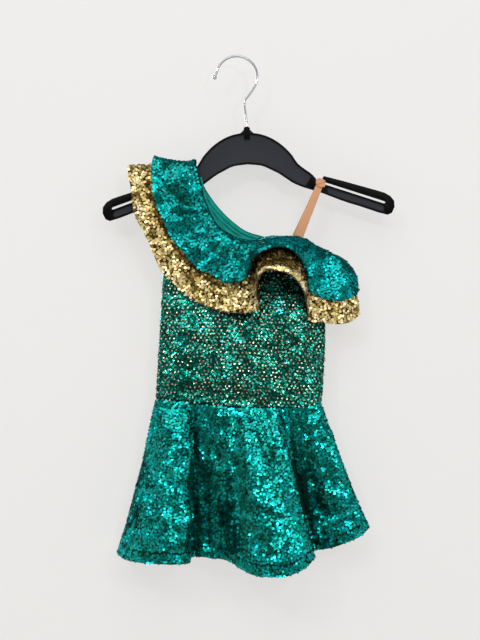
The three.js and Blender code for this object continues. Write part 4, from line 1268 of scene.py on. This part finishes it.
def skirt_piece(node_name, grid, side, seed, nap_and_painted_shade, shut):
    def shown(places, share):
        """Off the stitched line above the hem, off the last of the edge and out of the shut folds."""
        wanted = (np.abs(share - STITCH_SHARE) > STITCH_GAP) & (share < 0.995) & (share > 0.006)
        for *line, half in shut:
            wanted &= beside(places, *line, 0)[1] > half
        return wanted

    thickness = np.where(skirt_down >= HEM_SHARE, HEM_CLOTH, CLOTH)
    spots = scattered(grid, side, thickness, 2.5, np.random.default_rng(seed), shown)
    scales = sequins(node_name + "_sequins", spots, diameter=3.7, loose=5.6, drift=5.5, spread=0.17,
                     seed=seed, material=teal_sequin, nap_and_painted_shade=nap_and_painted_shade)
    dressed(node_name, grid, side, thickness, teal_ground,
            [scales])


skirt_piece("skirt_front", skirt_front, FRONT, 101, SKIRT_FRONT_NAP_AND_PAINTED_SHADE, SKIRT_FRONT_SHUT)
skirt_piece("skirt_back", skirt_back, BACK, 102, SKIRT_BACK_NAP, [])


RUFFLE_COVER = 4.2  # a lower ruffle's sequins stay this far from the ruffle over it, mm
COVER_ROWS = 17  # rows of that ruffle, from its root, that hide them


def ruffle_piece(node_name, grid, side, seed, teal, spacing, diameter, hidden_by=None,
                 nap_and_painted_shade=(), shade=()):
    clear = None if hidden_by is None else far_from(hidden_by[:, :COVER_ROWS], RUFFLE_COVER)

    def shown(places, share):
        wanted = (share > 0.035) & (share < 0.995)
        if clear is not None:
            wanted[wanted] = clear(places[wanted])
        return wanted

    spots = scattered(grid, side, CLOTH, spacing, np.random.default_rng(seed), shown)
    foil = ruffle_sequin if teal else gold_sequin
    thread = edge_thread if teal else gold_thread
    loose, drift, spread = (5.5, 5, 0.18) if teal else (10, 6, 0.24)
    scales = sequins(node_name + "_sequins", spots, diameter, loose, drift, spread,
                     seed, foil, nap_and_painted_shade, shade)
    edge = overlocked(node_name + "_edge", grid, side, thread)
    dressed(node_name, grid, side, CLOTH, teal_ground if teal else gold_ground,
            [scales, edge])


ruffle_piece("upper_ruffle_front", upper_front, FRONT, seed=103, teal=True, spacing=2.5, diameter=3.7,
             nap_and_painted_shade=UPPER_FRONT_NAP_AND_PAINTED_SHADE, shade=UPPER_FRONT_PAINTED_LIGHT)
ruffle_piece("upper_ruffle_back", upper_back, BACK, seed=104, teal=True, spacing=2.5, diameter=3.7)
ruffle_piece("lower_ruffle_front", lower_front, FRONT, seed=105, teal=False, spacing=2.6, diameter=3.9,
             hidden_by=upper_front,
             nap_and_painted_shade=LOWER_FRONT_NAP, shade=LOWER_FRONT_PAINTED_LIGHT)
ruffle_piece("lower_ruffle_back", lower_back, BACK, seed=106, teal=False, spacing=2.8, diameter=4.1,
             hidden_by=upper_back)


ROW_STEP = 0.866  # rows of a net with three equal sides, as a share of its pitch
DOT_DRIFT = 0.13  # how far a dot strays from its place, as a share of the pitch
ON_CLOTH = 1.7  # a dot this close to a point of the cloth, seen from the front, is on it, mm
EDGE_ON = 0.4  # the cloth's y direction below which it is seen too nearly edge on


def dotted(grid, side, thickness, pitch, rng, keep):
    """Places in a net of rows, each row half a step on from the last, drifting with the cloth."""
    normals = normals_of(grid, side).reshape(-1, 3)
    _, along = slopes_of(grid)
    flat = grid.reshape(-1, 3) * (1, 0, 1)
    tree = tree_of(flat)
    (x0, _, z0), (x1, _, z1) = flat.min(0), flat.max(0)
    found = []
    for k, row in enumerate(np.arange(z0 + 1.5, z1, pitch * ROW_STEP)):
        for x in np.arange(x0 + pitch * 0.5 * (k % 2), x1, pitch):
            dx, dz = rng.normal(0, DOT_DRIFT * pitch, 2)
            drawn_x = 2.5 * math.sin(row / 31)
            drawn_z = 3 * math.sin(x / 43 + row / 90)
            spot = Vector((x + dx + drawn_x, 0, row + dz + drawn_z))
            _, best, distance = tree.find(spot)
            if distance < ON_CLOTH:
                found.append((*spot, best))
    found = np.array(found)
    best = found[:, 3].astype(int)
    near = grid.reshape(-1, 3)[best]
    outward = normals[best]
    off = (found[:, 0] - near[:, 0]) * outward[:, 0] + (found[:, 2] - near[:, 2]) * outward[:, 2]
    faced = np.abs(outward[:, 1]) > EDGE_ON
    y = near[:, 1] - np.where(faced, off, 0) / np.where(faced, outward[:, 1], 1)
    places = np.stack([found[:, 0], y, found[:, 2]], -1)
    kept = keep(places)
    places = places + outward * thickness / 2
    return places[kept], outward[kept], unit(-along.reshape(-1, 3)[best])[kept]


BODICE_COVER = 4.6  # the bodice's sequins stay this far from the lower ruffle's first rows, mm
BODICE_COVER_ROWS = 20
DOT_LIFT = 0.75  # the dots sit this much further out than the sequins, mm
DOT_PITCH = 5.3


def bodice_piece(node_name, grid, side, seed, hidden_by, nap_and_painted_shade=(), shade=()):
    clear = far_from(hidden_by[:, :BODICE_COVER_ROWS], BODICE_COVER)

    def shown(places, share):
        wanted = (share > 0.012) & (share < 0.992)
        wanted[wanted] = clear(places[wanted])
        return wanted

    green = scattered(grid, side, CLOTH, 2.3, np.random.default_rng(seed), shown)
    scales = sequins(node_name + "_sequins", green, diameter=3.1, loose=7, drift=5, spread=0.2,
                     seed=seed, material=bodice_sequin, nap_and_painted_shade=nap_and_painted_shade, shade=shade)
    dots = dotted(grid, side, CLOTH + 2 * DOT_LIFT, DOT_PITCH, np.random.default_rng(seed + 50), clear)
    gold = sequins(node_name + "_dots", dots, diameter=2.15, loose=8, drift=6, spread=0.24,
                   seed=seed + 60, material=dot_sequin, nap_and_painted_shade=nap_and_painted_shade, shade=shade)
    dressed(node_name, grid, side, CLOTH, teal_ground,
            [scales, gold])


bodice_piece("bodice_front", bodice_front, FRONT, seed=107, hidden_by=lower_front,
             nap_and_painted_shade=BODICE_FRONT_NAP_AND_PAINTED_SHADE, shade=BODICE_FRONT_PAINTED_LIGHT)
bodice_piece("bodice_back", bodice_back, BACK, seed=108, hidden_by=lower_back)


# ---- Neckline binding ----
def back_band():
    """A smooth band inside the back neckline, with the ridges that its stitching leaves."""
    s = np.linspace(0.1, 0.94, 90)
    reach = np.linspace(1, -BIND_WIDTH, 22)
    ridges = 0.2 + RIDGE_HEIGHT * np.abs(np.sin((reach + 0.5) / RIDGE_PITCH * math.pi)) ** 0.55
    inset = CLOTH / 2 + SEAM + 0.6
    out = neck_back.outward(s)[:, None]
    band = (neck_back.place(s)[:, None] - out * (inset + ridges)[None, :, None]
            + neck_back.edgeward(s)[:, None] * reach[None, :, None])
    band = lay_over(band, bodice_back, -1, inset + 0.3)
    return shell("neck_binding_back_cloth", band, 1, 0.6, satin)


def front_cap():
    """The bound edge along the front neckline, a soft round roll."""
    s = np.linspace(0.08, 0.95, 160)
    path = (neck_front.place(s) + neck_front.edgeward(s) * (2.5 * SEAM + BIND_CAP / 2)
            + neck_front.outward(s) * BIND_MIDDLE)
    return tube("neck_binding_front_cloth", path, neck_front.edgeward(s), neck_front.outward(s),
                BIND_CAP / 2, BIND_REACH / 2, 12, satin)


for made, name, flat, area in (
    (back_band(), "neck_binding_back", (0.205, 0.013), 0.0026),
    (front_cap(), "neck_binding_front", (0.2, 0.01), 0.00065),
):
    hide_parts(name)
    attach(made, "root")


# ---- Strap ----
def ribbon(name, middle, across, width, wall):
    """A flat elastic band with soft edges; the weave follows its across and along attributes."""
    count = len(middle)
    ahead = unit(np.gradient(middle, axis=0))
    across = unit(across)
    out = unit(np.cross(across, ahead))
    profile = np.array([(-1, 0), (-0.97, 0.7), (-0.88, 1), (-0.4, 1), (0, 1), (0.4, 1), (0.88, 1),
                        (0.97, 0.7), (1, 0), (0.97, -0.7), (0.88, -1), (0.4, -1), (0, -1), (-0.4, -1),
                        (-0.88, -1), (-0.97, -0.7)])
    sides = len(profile)
    width = np.broadcast_to(width, count)
    rings = (middle[:, None] + across[:, None] * (width[:, None] / 2 * profile[:, 0])[..., None]
             + out[:, None] * (wall / 2 * profile[:, 1])[None, :, None])
    index = np.arange(count * sides).reshape(count, sides)
    here, there = index[:-1], index[1:]
    quads = np.stack([here, np.roll(here, -1, 1), np.roll(there, -1, 1), there], -1).reshape(-1, 4)
    vertices = np.concatenate([rings.reshape(-1, 3), middle[:1], middle[-1:]])
    start = np.stack([np.full(sides, count * sides), np.roll(index[0], -1), index[0]], -1)
    end = np.stack([np.full(sides, count * sides + 1), index[-1], np.roll(index[-1], -1)], -1)
    walls = np.concatenate([quads[:, [0, 1, 2]], quads[:, [0, 2, 3]]])
    piece = mesh_object(name, vertices, np.concatenate([walls, start, end]), elastic, smooth_angle=50)
    fix_normals(piece)
    length = np.concatenate([[0], np.cumsum(np.linalg.norm(np.diff(middle, axis=0), axis=1))])
    values = {
        "across": np.concatenate([np.tile(profile[:, 0] * STRAP_RIBS, count), [0, 0]]),
        "along": np.concatenate([length.repeat(sides), [0, length[-1]]]),
    }
    for label, value in values.items():
        attribute = piece.data.attributes.new(label, "FLOAT", "POINT")
        attribute.data.foreach_set("value", value.astype(np.float32))
    return piece


def fix_normals(piece):
    """Turns every face outwards."""
    shape = bmesh.new()
    shape.from_mesh(piece.data)
    bmesh.ops.recalc_face_normals(shape, faces=shape.faces)
    shape.to_mesh(piece.data)
    shape.free()


def strap_stretch(name, table):
    """A straight stretch through its table's middles, in the plane of the dress."""
    knots = np.linspace(0, 1, len(table))
    t = np.linspace(0, 1, 60)
    middle = smooth(knots, [(x, y, z) for x, y, z, _ in table], False)(t)
    width = smooth(knots, [(wide, 0, 0) for *_, wide in table], False)(t)[:, 0]
    ahead = np.gradient(middle, axis=0)
    across = np.stack([ahead[:, 2], np.zeros(len(t)), -ahead[:, 0]], -1)
    across *= np.sign(across[:, :1])
    return ribbon(name, middle, across, width, STRAP_WALL)


def bunch(y_near, y_far):
    """One bunched end of the gathered loop: a soft pad with the fold lines of its wraps."""
    x, z = LOOP_MIDDLE
    wide, high = LOOP_HALF
    deep = abs(y_far - y_near) / 2
    around = np.arange(40) * 2 * math.pi / 40
    turn, tilt = np.meshgrid(around, np.linspace(-math.pi / 2, math.pi / 2, 19)[1:-1])
    sides = (np.cos(turn) * np.cos(tilt), np.sin(tilt), np.sin(turn) * np.cos(tilt))
    across, out, up = (np.sign(side) * np.abs(side) ** power
                       for side, power in zip(sides, (0.8, 0.6, 0.8)))
    up = up * high - 0.18 * wide * across
    folds = 1.3 * np.exp(-(((up + 1.6 - 0.3 * across * wide) / 0.8) ** 2))
    folds += 0.6 * np.exp(-(((up - 2.2 + 0.5 * across * wide) / 0.7) ** 2))
    pad = np.stack([x + wide * across * (1 - 0.06 * folds), (y_near + y_far) / 2
                    + deep * out * (1 - 0.5 * folds), z + up], -1).reshape(-1, 3)
    poles = [(x, y_near + 0.2, z), (x, y_far, z)] if y_near < y_far else [(x, y_far, z), (x, y_near, z)]
    rows, count = turn.shape
    index = np.arange(rows * count).reshape(rows, count)
    here, there = index[:-1], index[1:]
    walls = np.stack([here, there, np.roll(there, -1, 1), np.roll(here, -1, 1)], -1).reshape(-1, 4)
    low, high_pole = rows * count, rows * count + 1
    caps = [(low, a, b) for a, b in zip(index[0], np.roll(index[0], -1))]
    caps += [(high_pole, b, a) for a, b in zip(index[-1], np.roll(index[-1], -1))]
    faces = np.concatenate([walls[:, [0, 1, 2]], walls[:, [0, 2, 3]], np.array(caps)])
    return np.concatenate([pad, poles]), faces


def strap_turn():
    """The strap gathered into a short thick loop: a bunched end front and back, a neck between."""
    sides = 16
    turns = np.arange(sides) * 2 * math.pi / sides
    depth = np.linspace(-LOOP_NEAR - LOOP_NECK_OVERLAP, LOOP_NEAR + LOOP_NECK_OVERLAP, 7)
    ring = np.stack([NOTCH_X + STRAP_IN_NOTCH / 2 * np.cos(turns), 0 * turns,
                     LOOP_NECK_Z + LOOP_NECK_HALF_HEIGHT * np.sin(turns)], -1)
    rings = ring[None] + depth[:, None, None] * np.array((0, 1, 0))
    index = np.arange(rings.shape[0] * sides).reshape(-1, sides)
    here, there = index[:-1], index[1:]
    walls = np.stack([here, there, np.roll(there, -1, 1), np.roll(here, -1, 1)], -1).reshape(-1, 4)
    ends = [tuple(index[0, [0, k, k + 1]]) for k in range(1, sides - 1)]
    ends += [tuple(index[-1, [0, k + 1, k]]) for k in range(1, sides - 1)]
    corners = np.concatenate([walls[:, [0, 1, 2]], walls[:, [0, 2, 3]], np.array(ends)])
    neck = rings.reshape(-1, 3), corners
    vertices, faces = [], []
    for points, corners in (bunch(-LOOP_FRONT, -LOOP_NEAR), bunch(LOOP_NEAR, LOOP_BACK), neck):
        faces.append(corners + sum(len(part) for part in vertices))
        vertices.append(points)
    vertices = np.concatenate(vertices)
    piece = mesh_object("strap_turn_band", vertices, np.concatenate(faces), elastic, smooth_angle=60)
    fix_normals(piece)
    for label, value in (("across", vertices[:, 0]), ("along", vertices[:, 2])):
        attribute = piece.data.attributes.new(label, "FLOAT", "POINT")
        attribute.data.foreach_set("value", value.astype(np.float32))
    return piece


# Each stretch, its node, its flat size, and the share of that size which its area comes to: the
# straight stretches are drawn in at the top.
for made, name, flat, share in (
    (strap_stretch("strap_front_band", STRAP_FRONT), "strap_front", (0.0127, 0.088), 0.85),
    (strap_turn(), "strap_turn", (0.0127, 0.03), 0.95),
    (strap_stretch("strap_back_band", STRAP_BACK), "strap_back", (0.0127, 0.09), 0.85),
):
    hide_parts(name)
    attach(made, "root")
    area = flat[0] * flat[1] * share


# ---- Hanger ----
def refined_hanger():
    """The moulded hanger with its edges rounded."""
    body = frame["nodes"]["hanger_body"].copy()
    body.data = body.data.copy()
    body.name = "hanger_moulding"
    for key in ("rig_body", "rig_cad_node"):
        if key in body:
            del body[key]
    body.parent = None
    bpy.context.scene.collection.objects.link(body)
    select_only(body)
    bpy.ops.object.mode_set(mode="EDIT")
    bpy.ops.mesh.select_all(action="SELECT")
    bpy.ops.mesh.remove_doubles(threshold=0.00001)
    bpy.ops.mesh.dissolve_limited(angle_limit=math.radians(2))
    bpy.ops.object.mode_set(mode="OBJECT")
    rounding = body.modifiers.new("rounding", "BEVEL")
    rounding.width = 0.00035
    rounding.segments = 2
    rounding.limit_method = "ANGLE"
    rounding.angle_limit = math.radians(40)
    bpy.ops.object.modifier_apply(modifier="rounding")
    bpy.ops.object.shade_smooth_by_angle(angle=math.radians(35))
    body.data.materials.clear()
    body.data.materials.append(black_plastic)
    return body


hanger = refined_hanger()
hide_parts("hanger_body")
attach(hanger, "root")


def hook():
    """One wire: lip, round crown, then the sway back to the boss; a ball closes its end."""
    low, high = (math.radians(angle) for angle in HOOK_ARC_DEGREES)
    arc = [(HOOK_RADIUS * math.cos(a), -HOOK_RADIUS + WIRE / 2 + HOOK_RADIUS * math.sin(a))
           for a in np.linspace(low, high, 15)]
    points = HOOK_LIP + arc + HOOK_STEM
    bpy.ops.object.select_all(action="DESELECT")
    bpy.ops.curve.primitive_bezier_curve_add()
    wire = bpy.context.object
    wire.name = "hook_wire"
    wire.data.splines.clear()
    spline = wire.data.splines.new("BEZIER")
    spline.bezier_points.add(len(points) - 1)
    for place, (x, z) in zip(spline.bezier_points, points):
        place.co = (x * MM, 0, z * MM)
        place.handle_left_type = place.handle_right_type = "AUTO"
    wire.data.dimensions = "3D"
    wire.data.resolution_u = 8
    wire.data.bevel_depth = WIRE / 2 * MM
    wire.data.bevel_resolution = 6
    wire.data.use_fill_caps = True
    bpy.ops.object.convert(target="MESH")
    wire = bpy.context.object
    x, z = HOOK_LIP[0]
    bpy.ops.object.select_all(action="DESELECT")
    bpy.ops.mesh.primitive_uv_sphere_add(segments=24, ring_count=14, radius=HOOK_BALL / 2 * MM,
                                         location=(x * MM, 0, z * MM))
    wire.select_set(True)
    bpy.context.view_layer.objects.active = wire
    bpy.ops.object.join()
    bpy.ops.object.transform_apply(location=True, rotation=True, scale=True)
    bpy.ops.object.mode_set(mode="EDIT")
    bpy.ops.mesh.select_all(action="SELECT")
    bpy.ops.mesh.remove_doubles(threshold=0.00001)
    bpy.ops.mesh.normals_make_consistent(inside=False)
    bpy.ops.object.mode_set(mode="OBJECT")
    bpy.ops.object.shade_smooth_by_angle(angle=math.radians(40))
    wire.data.materials.clear()
    wire.data.materials.append(chrome)
    return wire


wire = hook()
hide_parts("hanger_hook")
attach(wire, "root")


# ---- Stage, lights and camera ----
def plane(name, size, location, rotation, made):
    bpy.ops.object.select_all(action="DESELECT")
    bpy.ops.mesh.primitive_plane_add(size=size, location=location, rotation=rotation)
    flat = bpy.context.object
    flat.name = name
    flat.data.materials.append(made)
    return flat


WALL_Y = 0.036
FLOOR_Z = -0.82
wall = plane("wall", 8, (0, WALL_Y, 0), (math.radians(90), 0, 0), wall_material())
wall.visible_shadow = False
wall.visible_diffuse = False
wall.visible_glossy = False
floor_paint, _, floor_shader = material("pale_floor", 0.8)
floor_shader.inputs["Base Color"].default_value = (0.74, 0.73, 0.71, 1)
plane("floor", 8, (0, 0, FLOOR_Z), (0, 0, 0), floor_paint)


def lamp(name, size, place, target, power):
    """A white soft box, in metres and watts, turned to its target."""
    light = bpy.data.lights.new(name, "AREA")
    light.shape = "RECTANGLE"
    light.size, light.size_y = size
    light.energy = power
    made = bpy.data.objects.new(name, light)
    made.location = place
    made.rotation_mode = "QUATERNION"
    made.rotation_quaternion = (Vector(target) - Vector(place)).to_track_quat("-Z", "Y")
    bpy.context.scene.collection.objects.link(made)


lamp("key", (1.5, 1.5), (-0.1, -1.35, 1.0), (0, 0, -0.35), 19)
lamp("left", (1.0, 1.6), (-1.7, -1.0, 0.0), (0, 0, -0.4), 4.6)
lamp("right", (1.0, 1.6), (1.7, -1.0, 0.0), (0, 0, -0.4), 5.6)
lamp("rim_left", (0.9, 1.5), (-1.7, 0.1, -0.2), (0, 0, -0.4), 5)
lamp("rim_right", (0.9, 1.5), (1.7, 0.1, -0.2), (0, 0, -0.4), 3.5)
lamp("spark_left", (0.15, 0.15), (-0.7, -1.5, 0.5), (0, 0, -0.4), 4.5)
lamp("spark_right", (0.15, 0.15), (0.6, -1.6, 0.2), (0, 0, -0.4), 4.5)
lamp("back", (1.4, 1.4), (-0.9, 1.8, 0.5), (0, 0, -0.35), 30)

world = bpy.context.scene.world or bpy.data.worlds.new("studio")
bpy.context.scene.world = world
world.use_nodes = True
background = world.node_tree.nodes["Background"]
background.inputs["Color"].default_value = (0.86, 0.88, 0.9, 1)
background.inputs["Strength"].default_value = 0.3

CAMERA_DISTANCE = 1.4  # metres from the dress
VIEW_HEIGHT = 0.8  # metres that the view spans at that distance
VIEW_MIDDLE = (0.00425, -0.32825)  # x and z, metres
SENSOR = 36  # mm
camera_data = bpy.data.cameras.new("camera")
camera_data.sensor_width = SENSOR
camera_data.lens = SENSOR * CAMERA_DISTANCE / VIEW_HEIGHT
camera = bpy.data.objects.new("camera", camera_data)
camera.location = (VIEW_MIDDLE[0], -CAMERA_DISTANCE, VIEW_MIDDLE[1])
camera.rotation_euler = (math.radians(90), 0, 0)
bpy.context.scene.collection.objects.link(camera)
bpy.context.scene.camera = camera
bpy.context.scene.view_settings.view_transform = "Standard"
